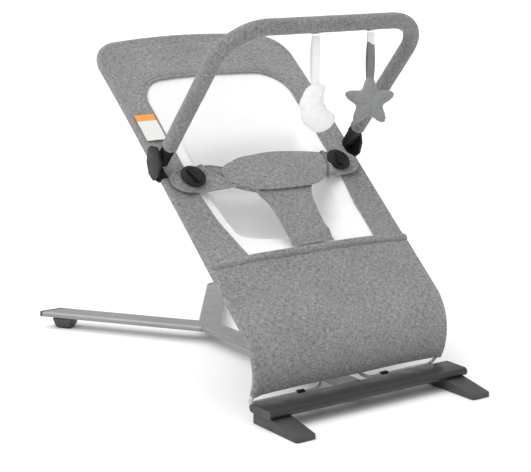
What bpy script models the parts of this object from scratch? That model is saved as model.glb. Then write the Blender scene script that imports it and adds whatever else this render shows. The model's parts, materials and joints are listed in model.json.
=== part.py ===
"""Infant bouncer seat: a Y-shaped floor base, a springing wire frame, a fabric seat and a toy bar.

Metres, +Z up, the front crossbar towards -Y. The origin is on the floor under the middle of the object.
"""
import math

import bmesh
import bpy
from mathutils import Matrix, Vector

# ---------------------------------------------------------------- driving dimensions
GAP = 0.0003                    # clearance between pieces that touch

CROSSBAR_LENGTH = 0.406
CROSSBAR_DEPTH = 0.0575
CROSSBAR_BULGE = 0.006          # its rounded rear reaches this far behind the flat top
CROSSBAR_HEIGHT = 0.0135
CROSSBAR_TOP = 0.0330
TUBE_WALL = 0.0015
CAP_FLANGE = 0.0032

FOOT_FRONT = 0.1133             # feet's tips in front of the crossbar's rear edge
BASE_REACH = 0.6986             # arms' ends behind that edge
CROSSBAR_REAR = (FOOT_FRONT - BASE_REACH) / 2

STEM_WIDTH = 0.044
ARM_WIDTH = 0.045
BAR_HEIGHT = 0.0108
BAR_TOP = 0.0316
HUB_FROM_CROSSBAR = 0.433
ARM_SPLAY = math.radians(36)    # each arm from straight back
ARM_CAP = 0.007

WIRE_RADIUS = 0.0035
SEAT_ANGLE = math.radians(41.2)
KNEE_RADIUS = 0.090             # outside of the fabric over the knees
KNEE_CENTRE = (0.088, 0.0829)   # back from the crossbar's rear edge, and up
HEM_TURN = math.radians(74.1)
AXIS_TURN = math.radians(94)
RAIL_OFFSET = 0.005             # wire centre under the fabric's outside
RAIL_HALF_WIDTH = 0.199
AXIS_HALF_WIDTH = 0.1885
COVER_HALF_WIDTH = 0.2047
SEAT_TOP = 0.6375               # along the seat, from the knee's start
BACK_BOW = 0.009                # how far the headrest leans back from the seat's plane
BACK_BOW_START = 0.380
LEG_PANEL_TOP = 0.122
HEM_RISE = 0.013
WINDOW_TOP = 0.529
WINDOW_HALF_WIDTH = 0.151
WINDOW_CORNER = 0.058
WINDOW_CROWN = 0.003
CLOTH = 0.0016

PIVOT_ALONG = 0.332             # toy bar's pivot, along the seat and above it
PIVOT_ABOVE = 0.0105
BAR_HALF_WIDTH = 0.196
BAR_REACH = 0.309
BAR_SLEEVE_RADIUS = 0.0138
BAR_TUBE_RADIUS = 0.006
SLEEVE_START = 0.040
BAR_PIN_RADIUS = 0.0030

SMOOTH_ANGLE = math.radians(35)


# ---------------------------------------------------------------- scene and materials
def clear_scene():
    for item in list(bpy.data.objects):
        bpy.data.objects.remove(item, do_unlink=True)


def new_collection(name):
    made = bpy.data.collections.new(name)
    bpy.context.scene.collection.children.link(made)
    return made


clear_scene()
PARTS = new_collection("bouncer_seat")
CUTTERS = new_collection("cutters")

FINISHES = {
    "bar_steel": ((0.27, 0.27, 0.275), 0.35, 0.7),
    "crossbar_steel": ((0.12, 0.12, 0.125), 0.32, 0.6),
    "foot_plastic": ((0.085, 0.085, 0.09), 0.5, 0.0),
    "black_plastic": ((0.02, 0.02, 0.02), 0.45, 0.0),
    "hub_plastic": ((0.06, 0.06, 0.062), 0.4, 0.0),
    "rubber": ((0.03, 0.03, 0.03), 0.85, 0.0),
    "wire_steel": ((0.62, 0.62, 0.61), 0.18, 1.0),
    "grey_cloth": ((0.26, 0.26, 0.26), 0.95, 0.0),
    "white_mesh": ((0.88, 0.88, 0.88), 0.9, 0.0),
    "toy_white": ((0.9, 0.9, 0.89), 0.95, 0.0),
    "toy_grey": ((0.24, 0.25, 0.25), 0.95, 0.0),
    "label": ((0.9, 0.9, 0.88), 0.8, 0.0),
}


def finish(name):
    material = bpy.data.materials.get(name)
    if material is None:
        colour, roughness, metallic = FINISHES[name]
        material = bpy.data.materials.new(name)
        material.use_nodes = True
        shader = material.node_tree.nodes["Principled BSDF"]
        shader.inputs["Base Color"].default_value = (*colour, 1.0)
        shader.inputs["Roughness"].default_value = roughness
        shader.inputs["Metallic"].default_value = metallic
    return material


def empty(name, place, parent=None):
    made = bpy.data.objects.new(name, None)
    PARTS.objects.link(made)
    made.matrix_world = Matrix.Translation(place)
    attach(made, parent)
    return made


def attach(item, parent):
    if parent is not None:
        item.parent = parent
        item.matrix_parent_inverse = parent.matrix_world.inverted()


def dress(item, finish_name, parent):
    item.data.materials.clear()
    item.data.materials.append(finish(finish_name))
    if item.type == "MESH":
        item.data.shade_smooth()
        item.data.set_sharp_from_angle(angle=SMOOTH_ANGLE)
    bpy.context.view_layer.update()
    attach(item, parent)
    return item


# ---------------------------------------------------------------- shapes
def as_mesh(curve_object, collection=PARTS):
    """Turns a curve object into a mesh object of the same name, with its caps welded on."""
    bpy.context.view_layer.update()
    graph = bpy.context.evaluated_depsgraph_get()
    mesh = bpy.data.meshes.new_from_object(curve_object.evaluated_get(graph))
    work = bmesh.new()
    work.from_mesh(mesh)
    bmesh.ops.remove_doubles(work, verts=work.verts, dist=1e-5)
    bmesh.ops.recalc_face_normals(work, faces=work.faces)
    work.to_mesh(mesh)
    work.free()
    name = curve_object.name
    place = curve_object.matrix_world.copy()
    bpy.data.objects.remove(curve_object, do_unlink=True)
    made = bpy.data.objects.new(name, mesh)
    collection.objects.link(made)
    made.matrix_world = place
    return made


def slab(name, loops, low, high, place=Matrix(), collection=PARTS):
    """A flat outline, with any holes, in local X and Y, from local Z low to high."""
    curve = bpy.data.curves.new(name, "CURVE")
    curve.dimensions = "2D"
    curve.fill_mode = "BOTH"
    curve.extrude = (high - low) / 2
    for loop in loops:
        spline = curve.splines.new("POLY")
        spline.points.add(len(loop) - 1)
        for point, (x, y) in zip(spline.points, loop):
            point.co = (x, y, 0, 1)
        spline.use_cyclic_u = True
    made = bpy.data.objects.new(name, curve)
    collection.objects.link(made)
    made.matrix_world = place @ Matrix.Translation((0, 0, (low + high) / 2))
    return as_mesh(made, collection)


def wire(name, points, radius, finish_name, parent, sides=3):
    """A round rod along points, with closed ends."""
    curve = bpy.data.curves.new(name, "CURVE")
    curve.dimensions = "3D"
    curve.bevel_depth = radius
    curve.bevel_resolution = sides
    curve.use_fill_caps = True
    spline = curve.splines.new("POLY")
    spline.points.add(len(points) - 1)
    for point, place in zip(spline.points, points):
        point.co = (*place, 1)
    made = bpy.data.objects.new(name, curve)
    PARTS.objects.link(made)
    return dress(as_mesh(made), finish_name, parent)


def pin(name, centre, direction, radius, length, finish_name, parent, collection=PARTS):
    """A cylinder about centre, along direction."""
    bpy.ops.mesh.primitive_cylinder_add(vertices=24, radius=radius, depth=length)
    made = bpy.context.object
    made.name = name
    for owner in list(made.users_collection):
        owner.objects.unlink(made)
    collection.objects.link(made)
    turn = Vector(direction).to_track_quat("Z", "Y").to_matrix().to_4x4()
    made.matrix_world = Matrix.Translation(centre) @ turn
    if collection is CUTTERS:
        return hide(made)
    return dress(made, finish_name, parent)


def block(name, low, high, finish_name=None, parent=None, collection=PARTS):
    """An upright box from its low corner to its high corner."""
    bpy.ops.mesh.primitive_cube_add(size=1.0)
    made = bpy.context.object
    made.name = name
    size = [b - a for a, b in zip(low, high)]
    middle = [(a + b) / 2 for a, b in zip(low, high)]
    made.data.transform(Matrix.Translation(middle) @ Matrix.Diagonal((*size, 1)))
    for owner in list(made.users_collection):
        owner.objects.unlink(made)
    collection.objects.link(made)
    if collection is CUTTERS:
        return hide(made)
    return dress(made, finish_name, parent)


def hide(cutter):
    cutter.hide_render = True
    cutter.display_type = "WIRE"
    return cutter


def boolean(item, tool, operation="DIFFERENCE"):
    hide(tool)
    step = item.modifiers.new("Boolean", "BOOLEAN")
    step.object = tool
    step.operation = operation
    step.solver = "EXACT"
    return item


def bore(name, centre, direction, radius, length):
    """A cylinder that is only used to cut or join another solid."""
    return pin(name, centre, direction, radius, length, None, None, CUTTERS)


def rectangle(half_x, half_y):
    return [(-half_x, -half_y), (half_x, -half_y), (half_x, half_y), (-half_x, half_y)]


def round_edges(item, width, segments=2, angle=40):
    step = item.modifiers.new("Bevel", "BEVEL")
    step.width = width
    step.segments = segments
    step.limit_method = "ANGLE"
    step.angle_limit = math.radians(angle)
    return item


def flat_oval(width, height, steps=8):
    """Outline of a bar with flat faces and half-round edges."""
    radius = height / 2
    reach = width / 2 - radius
    loop = []
    for side, start in ((1, -90), (-1, 90)):
        for step in range(steps + 1):
            angle = math.radians(start + 180 * step / steps)
            loop.append((side * reach + radius * math.cos(angle), radius * math.sin(angle)))
    return loop


def arc(centre, radius, start, end, steps):
    """Points on a circle, angles in degrees."""
    turn = [math.radians(start + (end - start) * i / steps) for i in range(steps + 1)]
    return [(centre[0] + radius * math.cos(a), centre[1] + radius * math.sin(a)) for a in turn]


def rounded_outline(corners, radius, steps=4):
    """A closed outline through corners, each turned into an arc. radius is one size or one per corner."""
    loop = []
    count = len(corners)
    radii = radius if isinstance(radius, tuple) else (radius,) * count
    for i in range(count):
        corner = Vector(corners[i])
        radius = radii[i]
        if radius == 0:
            loop.append(tuple(corner))
            continue
        before = (Vector(corners[i - 1]) - corner).normalized()
        after = (Vector(corners[(i + 1) % count]) - corner).normalized()
        half = before.angle(after) / 2
        reach = radius / math.tan(half)
        middle = corner + (before + after).normalized() * radius / math.sin(half)
        first = corner + before * reach - middle
        turn = first.angle_signed(corner + after * reach - middle)
        for step in range(steps + 1):
            angle = -turn * step / steps
            spin = Matrix.Rotation(angle, 2)
            loop.append(tuple(middle + spin @ first))
    return loop


# ---------------------------------------------------------------- places on the seat
def from_rear(y):
    """Y of a point that lies y behind the crossbar's rear edge."""
    return CROSSBAR_REAR + y


ALONG = Vector((0, math.cos(SEAT_ANGLE), math.sin(SEAT_ANGLE)))
OUTWARD = Vector((0, -math.sin(SEAT_ANGLE), math.cos(SEAT_ANGLE)))
ACROSS = Vector((1, 0, 0))
KNEE = Vector((0, from_rear(KNEE_CENTRE[0]), KNEE_CENTRE[1]))
HEM = -KNEE_RADIUS * HEM_TURN
AXIS = -KNEE_RADIUS * AXIS_TURN


def seat_point(x, along, above=0.0):
    """A point of the seat: x across, along its outside from the knee's start, above that outside."""
    if along >= 0:
        above -= BACK_BOW * (max(0.0, along - BACK_BOW_START) / (SEAT_TOP - BACK_BOW_START)) ** 2
        return Vector((x, 0, 0)) + KNEE + OUTWARD * (KNEE_RADIUS + above) + ALONG * along
    turn = -along / KNEE_RADIUS
    facing = Matrix.Rotation(turn, 3, "X") @ OUTWARD
    return Vector((x, 0, 0)) + KNEE + facing * (KNEE_RADIUS + above)


PIVOT = seat_point(0, AXIS, -RAIL_OFFSET)       # every frame hinge turns on this line, along X


def rail_half_width(along):
    share = min(max(-along / -AXIS, 0.0), 1.0)
    return RAIL_HALF_WIDTH - (RAIL_HALF_WIDTH - AXIS_HALF_WIDTH) * share


def u_path(half_width, bottom, top, corner, crown, side_steps=9, corner_steps=7, top_steps=10):
    """Across and along, up one side, over a slightly crowned top and down the other side."""
    inner = half_width - corner
    shoulder = top - crown - corner
    half = [(-half_width, bottom + (shoulder - bottom) * i / side_steps) for i in range(side_steps)]
    half += arc((-inner, shoulder), corner, 180, 90, corner_steps)
    for i in range(1, top_steps // 2 + 1):
        x = -inner * (1 - 2 * i / top_steps)
        half.append((x, top - crown * (x / inner) ** 2))
    return half + [(-x, along) for x, along in reversed(half[:-1])]


def sheet_solid(name, rows, thickness, finish_name, parent):
    """A cloth piece: a grid of points over its outside, thickened inwards."""
    mesh = bpy.data.meshes.new(name)
    wide = len(rows[0])
    points = [tuple(point) for row in rows for point in row]
    faces = []
    for r in range(len(rows) - 1):
        for c in range(wide - 1):
            a = r * wide + c
            faces.append((a, a + 1, a + wide + 1, a + wide))
    mesh.from_pydata(points, [], faces)
    made = bpy.data.objects.new(name, mesh)
    PARTS.objects.link(made)
    step = made.modifiers.new("Solidify", "SOLIDIFY")
    step.thickness = thickness
    step.offset = -1
    return dress(made, finish_name, parent)


# ---------------------------------------------------------------- the floor base
BAR_MIDDLE = BAR_TOP - BAR_HEIGHT / 2
CROSSBAR_MIDDLE = CROSSBAR_TOP - CROSSBAR_HEIGHT / 2
CROSSBAR_BOTTOM = CROSSBAR_TOP - CROSSBAR_HEIGHT
ALONG_X = Matrix(((0, 0, 1, 0), (1, 0, 0, 0), (0, 1, 0, 0), (0, 0, 0, 1)))


def build_crossbar():
    half = CROSSBAR_LENGTH / 2 - CAP_FLANGE
    place = Matrix.Translation((0, from_rear(CROSSBAR_BULGE - CROSSBAR_DEPTH / 2), CROSSBAR_MIDDLE)) @ ALONG_X
    outside = flat_oval(CROSSBAR_DEPTH, CROSSBAR_HEIGHT)
    inside = flat_oval(CROSSBAR_DEPTH - 2 * TUBE_WALL, CROSSBAR_HEIGHT - 2 * TUBE_WALL)
    dress(slab("front_crossbar", [outside, inside], -half, half, place), "crossbar_steel", None)
    plug = flat_oval(CROSSBAR_DEPTH - 2 * TUBE_WALL - 2 * GAP, CROSSBAR_HEIGHT - 2 * TUBE_WALL - 2 * GAP)
    for name, side in (("left", -1), ("right", 1)):
        inner = half + GAP
        ends = sorted((side * inner, side * (half + CAP_FLANGE)))
        cap = slab(f"crossbar_end_cap_{name}", [outside], *ends, place)
        reach = sorted((side * (half - 0.012), side * (inner + 0.001)))
        stem = slab(f"cap_plug_{name}", [plug], *reach, place, CUTTERS)
        dress(boolean(cap, stem, "UNION"), "foot_plastic", None)


PAD_INNER, PAD_OUTER = 0.165, 0.192
FOOT_MIDDLE = (PAD_INNER + PAD_OUTER) / 2
SCREW_HEAD = 0.0048
SCREW_SHAFT = 0.0022
SCREW_REACH = 0.003             # shaft's end past the crossbar's lower wall
SCREW_HEAD_HEIGHT = 0.0112
UP = Vector((0, 0, 1))


def build_front_foot(name, side):
    inner, outer = 0.159, 0.1984
    rear, front = from_rear(0.005), from_rear(-FOOT_FRONT)
    corners = [(side * inner, rear), (side * outer, rear),
               (side * outer, front), (side * (inner + 0.001), front)]
    if side < 0:
        corners.reverse()
    top = CROSSBAR_BOTTOM - GAP
    foot = slab(f"front_foot_{name}", [rounded_outline(corners, 0.005)], 0.0008, top)
    tip = 0.0075
    ramp_start = 0.047
    slope = math.atan2(top - tip, FOOT_FRONT - ramp_start)
    ramp = block(f"foot_ramp_{name}", (-0.05, -0.20, 0), (0.05, 0.0, 0.10), collection=CUTTERS)
    edge = Vector((side * (inner + outer) / 2, from_rear(-ramp_start), top))
    ramp.matrix_world = Matrix.Translation(edge) @ Matrix.Rotation(slope, 4, "X")
    boolean(foot, ramp)
    pocket_corners = [(side * PAD_INNER, rear - 0.006), (side * PAD_OUTER, rear - 0.006),
                      (side * PAD_OUTER, front + 0.010), (side * PAD_INNER, front + 0.010)]
    if side < 0:
        pocket_corners.reverse()
    pocket = slab(f"foot_pocket_{name}", [rounded_outline(pocket_corners, 0.004)], -0.001, 0.0025,
                  collection=CUTTERS)
    boolean(foot, pocket)
    round_edges(foot, 0.0012)
    dress(foot, "foot_plastic", None)
    inset = [(x + math.copysign(GAP, abs(x) - FOOT_MIDDLE) * -side, y) for x, y in pocket_corners]
    inset = [(x, y - GAP if y > from_rear(-0.05) else y + GAP) for x, y in inset]
    dress(slab(f"front_foot_pad_{name}", [rounded_outline(inset, 0.004)], 0.0, 0.0022), "rubber", None)
    for label, back in (("front", 0.036), ("rear", 0.012)):
        build_foot_screw(f"{name}_{label}", foot, Vector((side * FOOT_MIDDLE, from_rear(-back), 0.0)))


def build_foot_screw(name, foot, place):
    """A screw from a well in the foot's underside up into the crossbar's tube."""
    top = CROSSBAR_BOTTOM + TUBE_WALL + SCREW_REACH
    well = bore(f"well_{name}", place + UP * 0.006, UP, SCREW_HEAD, 0.013)
    hole = bore(f"hole_{name}", place + UP * 0.016, UP, SCREW_SHAFT + GAP, 0.020)
    boolean(foot, well)
    boolean(foot, hole)
    boolean(bpy.data.objects["front_crossbar"], hole)
    head_at = place + UP * SCREW_HEAD_HEIGHT
    screw = pin(f"foot_screw_{name}", head_at, UP, SCREW_HEAD - GAP, 0.0020, "wire_steel", None)
    shank_at = place + UP * (SCREW_HEAD_HEIGHT + top) / 2
    shank = bore(f"shank_{name}", shank_at, UP, SCREW_SHAFT, top - SCREW_HEAD_HEIGHT)
    boolean(screw, shank, "UNION")


def build_stem():
    front = from_rear(CROSSBAR_BULGE + GAP)
    hub = Vector((0, from_rear(HUB_FROM_CROSSBAR)))
    mitre = 198
    ray = Vector((math.cos(math.radians(mitre)), math.sin(math.radians(mitre))))
    place = Matrix.Translation((0, 0, BAR_MIDDLE)) @ Matrix.Rotation(math.radians(90), 4, "X")
    outside = flat_oval(STEM_WIDTH, BAR_HEIGHT)
    inside = flat_oval(STEM_WIDTH - 2 * TUBE_WALL, BAR_HEIGHT - 2 * TUBE_WALL)
    stem = slab("base_stem", [outside, inside], -hub.y - 0.02, -front, place)
    tip = hub - Vector((0, GAP))
    keep = [tuple(tip), tuple(tip + ray * 0.1), (-0.1, front - 0.01), (0.1, front - 0.01),
            tuple(tip + Vector((-ray.x, ray.y)) * 0.1)]
    boolean(stem, slab("stem_keep", [keep], 0.0, 0.06, collection=CUTTERS), "INTERSECT")
    dress(stem, "bar_steel", None)


def build_arm(name, side):
    hub = Vector((0, from_rear(HUB_FROM_CROSSBAR)))
    end = from_rear(BASE_REACH)
    direction = Vector((side * math.sin(ARM_SPLAY), math.cos(ARM_SPLAY)))
    length = (end - hub.y) / direction.y
    place = Matrix.Translation((hub.x, hub.y, BAR_MIDDLE))
    place = place @ Matrix.Rotation(-side * ARM_SPLAY, 4, "Z") @ Matrix.Rotation(math.radians(-90), 4, "X")
    outside = flat_oval(ARM_WIDTH, BAR_HEIGHT)
    inside = flat_oval(ARM_WIDTH - 2 * TUBE_WALL, BAR_HEIGHT - 2 * TUBE_WALL)
    arm = slab(f"rear_arm_{name}", [outside, inside], -0.05, length + 0.05, place)
    mitre = math.radians(-18)
    ray = Vector((side * math.cos(mitre), math.sin(mitre)))
    start = hub + Vector((side * GAP / 2, GAP))
    cap_line = end - ARM_CAP
    keep = [tuple(start), tuple(start + ray * 0.35), (side * 0.35, cap_line), (side * GAP / 2, cap_line)]
    boolean(arm, slab(f"arm_keep_{name}", [keep], 0.0, 0.06, collection=CUTTERS), "INTERSECT")
    dress(arm, "bar_steel", None)
    cap = slab(f"rear_arm_cap_{name}", [outside], length - 0.06, length + 0.05, place)
    near = abs(direction.x) * length - ARM_WIDTH / 2 / math.cos(ARM_SPLAY)
    far = near + ARM_WIDTH / math.cos(ARM_SPLAY)
    lean = math.tan(ARM_SPLAY) * (ARM_CAP - GAP)
    corners = [(side * (near - lean), cap_line + GAP), (side * near, end), (side * far, end),
               (side * (far - lean), cap_line + GAP)]
    slice_outline = rounded_outline(corners, (0, 0.0035, 0.0035, 0))
    boolean(cap, slab(f"cap_keep_{name}", [slice_outline], 0.0, 0.06, collection=CUTTERS), "INTERSECT")
    dress(cap, "foot_plastic", None)
    build_rear_foot(name, side, Vector((direction.x, direction.y)), hub, length)


def build_rear_foot(name, side, direction, hub, length):
    centre = hub + direction * (length - 0.0318)
    top = BAR_TOP - BAR_HEIGHT - GAP
    place = Matrix.Translation((centre.x, centre.y, 0)) @ Matrix.Rotation(-side * ARM_SPLAY, 4, "Z")
    bpy.ops.mesh.primitive_cone_add(vertices=4, radius1=0.0215, radius2=0.0285, depth=top - 0.0015,
                                    rotation=(0, 0, math.radians(45)))
    foot = bpy.context.object
    foot.name = f"rear_foot_{name}"
    for owner in list(foot.users_collection):
        owner.objects.unlink(foot)
    PARTS.objects.link(foot)
    foot.data.transform(Matrix.Rotation(math.radians(45), 4, "Z"))
    foot.matrix_world = place @ Matrix.Translation((0, 0, (top + 0.0015) / 2))
    round_edges(foot, 0.0035, 3)
    dress(foot, "foot_plastic", None)
    outline = rounded_outline(rectangle(0.0125, 0.0125), 0.003)
    pad = slab(f"rear_foot_pad_{name}", [outline], 0.0, 0.0015 - GAP, place)
    dress(pad, "rubber", None)


CLIP_X = 0.087
CLIP_HALF_WIDTH = 0.006


def build_wire_clip(name, side):
    """A saddle screwed under the crossbar that holds the spring rod behind it."""
    pivot_y, pivot_z = PIVOT.y, PIVOT.z
    wall = 0.0056
    tab = CROSSBAR_BOTTOM - GAP
    outline = [(from_rear(-0.030), tab - 0.0035), (pivot_y - 0.003, tab - 0.0035)]
    outline += arc((pivot_y, pivot_z), wall, -80, 150, 12)
    outline += [(from_rear(0.014), tab), (from_rear(-0.030), tab)]
    place = Matrix.Translation((side * CLIP_X, 0, 0)) @ ALONG_X
    clip = slab(f"wire_clip_{name}", [outline], -CLIP_HALF_WIDTH, CLIP_HALF_WIDTH, place)
    hole = bore(f"clip_bore_{name}", (side * CLIP_X, pivot_y, pivot_z), ACROSS, WIRE_RADIUS + GAP, 0.03)
    dress(boolean(clip, hole), "black_plastic", None)


# ---------------------------------------------------------------- the wire frame
ROD_OUTER = 0.1765
ROD_INNER = 0.0637
OUTER_BEND = 0.010
INNER_BEND = 0.025
BRACE_ALONG = 0.336
BRACE_DROP = 0.068
BRACE_RADIUS = 0.003
BRACE_PLAY = 0.0012             # the brace bows inside its clip


def build_spring_rods(carrier):
    for name, side in (("left", -1), ("right", 1)):
        ends = [Vector((side * ROD_INNER, 0, 0)), Vector((side * ROD_OUTER, 0, 0))]
        axis = Vector((0, PIVOT.y, PIVOT.z))
        wire(f"spring_rod_{name}", [axis + end for end in ends], WIRE_RADIUS, "wire_steel", carrier)


def leg_points(side):
    """The seat wire from the clamp down the side, round the knee and in along the hinge line."""
    points = []
    straight_steps, arc_steps = 8, 14
    start = PIVOT_ALONG - 0.010
    for i in range(straight_steps):
        along = start * (1 - i / straight_steps)
        points.append(seat_point(side * RAIL_HALF_WIDTH, along, -RAIL_OFFSET))
    last = AXIS + OUTER_BEND
    for i in range(arc_steps + 1):
        along = last * i / arc_steps
        points.append(seat_point(side * rail_half_width(along), along, -RAIL_OFFSET))
    corner = PIVOT + Vector((side * AXIS_HALF_WIDTH, 0, 0))
    down = (corner - points[-1]).normalized()
    inward = Vector((-side, 0, 0))
    centre = corner - down * OUTER_BEND + inward * OUTER_BEND
    points.pop()
    for i in range(7):
        angle = math.radians(90 * i / 6)
        points.append(centre - inward * OUTER_BEND * math.cos(angle) + down * OUTER_BEND * math.sin(angle))
    points.append(PIVOT + Vector((side * (ROD_OUTER + GAP), 0, 0)))
    return points


def build_seat_wires(seat):
    for name, side in (("left", -1), ("right", 1)):
        wire(f"side_rail_{name}", leg_points(side), WIRE_RADIUS, "wire_steel", seat)
    top = SEAT_TOP - RAIL_OFFSET - 0.0013
    path = u_path(RAIL_HALF_WIDTH, PIVOT_ALONG - 0.010 + GAP, top, 0.0565, 0.009, 4)
    bow = [seat_point(x, along, -RAIL_OFFSET) for x, along in path]
    wire("backrest_bow", bow, WIRE_RADIUS, "wire_steel", seat)
    ends = 0.1893
    steps = 14
    curve = []
    for i in range(steps + 1):
        x = ends * (2 * i / steps - 1)
        drop = 0.0075 + (BRACE_DROP - 0.0075) * (1 - (x / ends) ** 2)
        curve.append(seat_point(x, BRACE_ALONG, -drop))
    wire("back_brace", curve, BRACE_RADIUS, "wire_steel", seat)


def build_support_frame(seat):
    """The inner wire: up from both spring rods to the middle of the back brace."""
    target = seat_point(0, BRACE_ALONG, -BRACE_DROP)
    rise = (Vector((0, target.y, target.z)) - PIVOT)
    length = rise.length - 0.0095
    rise.normalize()
    half = []
    for i in range(9):
        angle = math.radians(90 * i / 8)
        x = ROD_INNER - GAP - INNER_BEND * math.sin(angle)
        half.append((x, INNER_BEND * (1 - math.cos(angle))))
    foot_x, top_x, corner = half[-1][0], 0.030, 0.014
    half += [(foot_x + (top_x - foot_x) * i / 4, INNER_BEND + (length - corner - INNER_BEND) * i / 4)
             for i in range(1, 5)]
    for i in range(1, 7):
        angle = math.radians(90 * i / 6)
        half.append((top_x - corner * (1 - math.cos(angle)), length - corner + corner * math.sin(angle)))
    points = [PIVOT + Vector((-x, 0, 0)) + rise * up for x, up in half]
    points += [PIVOT + Vector((x, 0, 0)) + rise * up for x, up in reversed(half)]
    wire("support_frame", points, WIRE_RADIUS, "wire_steel", seat)
    build_support_clip(seat, rise, PIVOT + rise * length, target)


def build_support_clip(seat, rise, bow_centre, brace_centre):
    """The moulded block that ties the support wire's top to the brace."""
    facing = rise.cross(Vector((-1, 0, 0))).normalized()
    frame = Matrix((Vector((1, 0, 0)), rise, facing)).transposed().to_4x4()
    place = Matrix.Translation((bow_centre + brace_centre) / 2) @ frame
    outline = rounded_outline(rectangle(0.0135, 0.0125), 0.003)
    clip = slab("support_clip", [outline], -0.0075, 0.0075, place)
    boolean(clip, bore("clip_bore_support", bow_centre, ACROSS, WIRE_RADIUS + GAP, 0.05))
    boolean(clip, bore("clip_bore_brace", brace_centre, ACROSS, BRACE_RADIUS + BRACE_PLAY, 0.05))
    dress(clip, "black_plastic", seat)


# ---------------------------------------------------------------- the cloth seat
def window_half_width(along):
    """The mesh window narrows towards the leg panel."""
    narrow = 0.021 * max(0.0, (0.300 - along) / 0.178) ** 1.3
    return WINDOW_HALF_WIDTH - narrow


def hem_rise(along):
    """How far the leg panel's upper hem stands over the rails' plane, fading out above and below."""
    if along > LEG_PANEL_TOP:
        return HEM_RISE * max(0.0, 1 - (along - LEG_PANEL_TOP) / 0.085)
    return HEM_RISE * max(0.0, 1 - (LEG_PANEL_TOP - along) / 0.150) ** 1.5


def wrapped_edge(wide):
    """Across and above, where cloth of half width wide turns down round the side rail."""
    return [(wide, -0.0085), (wide, -0.0015), (wide - 0.0022, 0.001)]


NOTCH_X = 0.2065                # the cover is cut away round the toy bar's mounts


def build_cover(seat):
    """The grey cover: side bands and headrest as one band round the mesh window."""
    edge = u_path(COVER_HALF_WIDTH, LEG_PANEL_TOP + GAP, SEAT_TOP, 0.062, 0.009)
    inner = u_path(WINDOW_HALF_WIDTH, LEG_PANEL_TOP + GAP, WINDOW_TOP, WINDOW_CORNER, WINDOW_CROWN)
    rim = u_path(COVER_HALF_WIDTH - 0.0022, LEG_PANEL_TOP + GAP, SEAT_TOP - 0.0022, 0.060, 0.009)
    rows = []
    for outer_at, rim_at, inner_at in zip(edge, rim, inner):
        along = inner_at[1]
        from_side = WINDOW_HALF_WIDTH - abs(inner_at[0])
        inner_x = math.copysign(window_half_width(along) - from_side, inner_at[0])
        row = [seat_point(*outer_at, -0.0085), seat_point(*outer_at, -0.0015), seat_point(*rim_at, 0.001)]
        for share in (0.12, 0.35, 0.65, 1.0):
            x = rim_at[0] + (inner_x - rim_at[0]) * share
            at = rim_at[1] + (along - rim_at[1]) * share
            row.append(seat_point(x, at, 0.0016 + hem_rise(along) * share ** 0.7 - 0.003 * share))
        rows.append(row)
    cover = sheet_solid("seat_cover", rows, CLOTH, "grey_cloth", seat)
    for side in (-1, 1):
        place = seat_point(side * NOTCH_X, PIVOT_ALONG - 0.010, 0)
        turn = Matrix.Rotation(SEAT_ANGLE, 4, "X")
        corner = Vector((0.0165, 0.0175, 0.03))
        notch = block(f"cover_notch_{side}", -corner, corner, collection=CUTTERS)
        notch.matrix_world = Matrix.Translation(place) @ turn
        boolean(cover, notch)


def smooth_step(value, low, high):
    share = min(max((value - low) / (high - low), 0.0), 1.0)
    return share * share * (3 - 2 * share)


SHELF_DROP = 0.012              # behind the leg panel's hem the mesh starts as a gentle shelf
POCKET_DROP = 0.042             # then it falls into the pocket the child sits in
BACK_SAG = 0.017


def mesh_drop(across, along):
    """How far the mesh hangs under the side bands, from 0 at its edge to its depth in the middle."""
    shelf = SHELF_DROP * smooth_step(along, 0.122, 0.175) * (1 - smooth_step(along, 0.20, 0.40))
    back = BACK_SAG * math.sin(math.pi * min(max((along - 0.10) / 0.45, 0.0), 1.0))
    pocket = POCKET_DROP * smooth_step(along, 0.150, 0.212) * (1 - smooth_step(along, 0.225, 0.420))
    return (shelf + back) * (1 - across ** 2) + pocket * smooth_step(1 - abs(across), 0.06, 0.42)


def window_top(x):
    """Upper edge of the mesh window at x: a slight crown with rounded corners."""
    inner = WINDOW_HALF_WIDTH - WINDOW_CORNER
    if abs(x) <= inner:
        return WINDOW_TOP - WINDOW_CROWN * (x / inner) ** 2
    reach = min((abs(x) - inner) / WINDOW_CORNER, 1.0)
    return WINDOW_TOP - WINDOW_CROWN - WINDOW_CORNER * (1 - math.sqrt(1 - reach ** 2))


def build_mesh_panel(seat):
    rows = []
    bottom, rim = LEG_PANEL_TOP + 0.0015, 0.0018
    count, wide = 24, 18
    for r in range(count + 1):
        row = []
        for c in range(wide + 1):
            across = math.sin(math.pi / 2 * (2 * c / wide - 1))
            top = window_top((WINDOW_HALF_WIDTH - 0.0006) * across) - rim
            along = bottom + (top - bottom) * r / count
            half = window_half_width(along) - rim
            above = -0.0020 + hem_rise(along) - mesh_drop(across, along)
            row.append(seat_point(half * across, along, above))
        rows.append(row)
    sheet_solid("mesh_panel", rows, 0.0010, "white_mesh", seat)


def build_leg_panel(seat):
    rows = []
    count = 22
    for r in range(count + 1):
        along = HEM + (LEG_PANEL_TOP - HEM) * r / count
        wide = rail_half_width(along) + COVER_HALF_WIDTH - RAIL_HALF_WIDTH
        row = [seat_point(-x, along, above) for x, above in wrapped_edge(wide)]
        for c in range(13):
            across = c / 6 - 1
            x = (wide - 0.008) * across
            row.append(seat_point(x, along, CLOTH + hem_rise(along) * (1 - across ** 4)))
        row += [seat_point(x, along, above) for x, above in reversed(wrapped_edge(wide))]
        rows.append(row)
    sheet_solid("leg_panel", rows, CLOTH, "grey_cloth", seat)


STRAP_ALONG = 0.289             # middle of the waist belt
FLAP_THICKNESS = 0.0034
FLAP_LIFT = 0.0042              # the flap's outside over the belt's
FLAP_MIDDLE = 0.0130
FLAP_REACH = 0.1125
FLAP_ALONG = 0.2770


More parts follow.
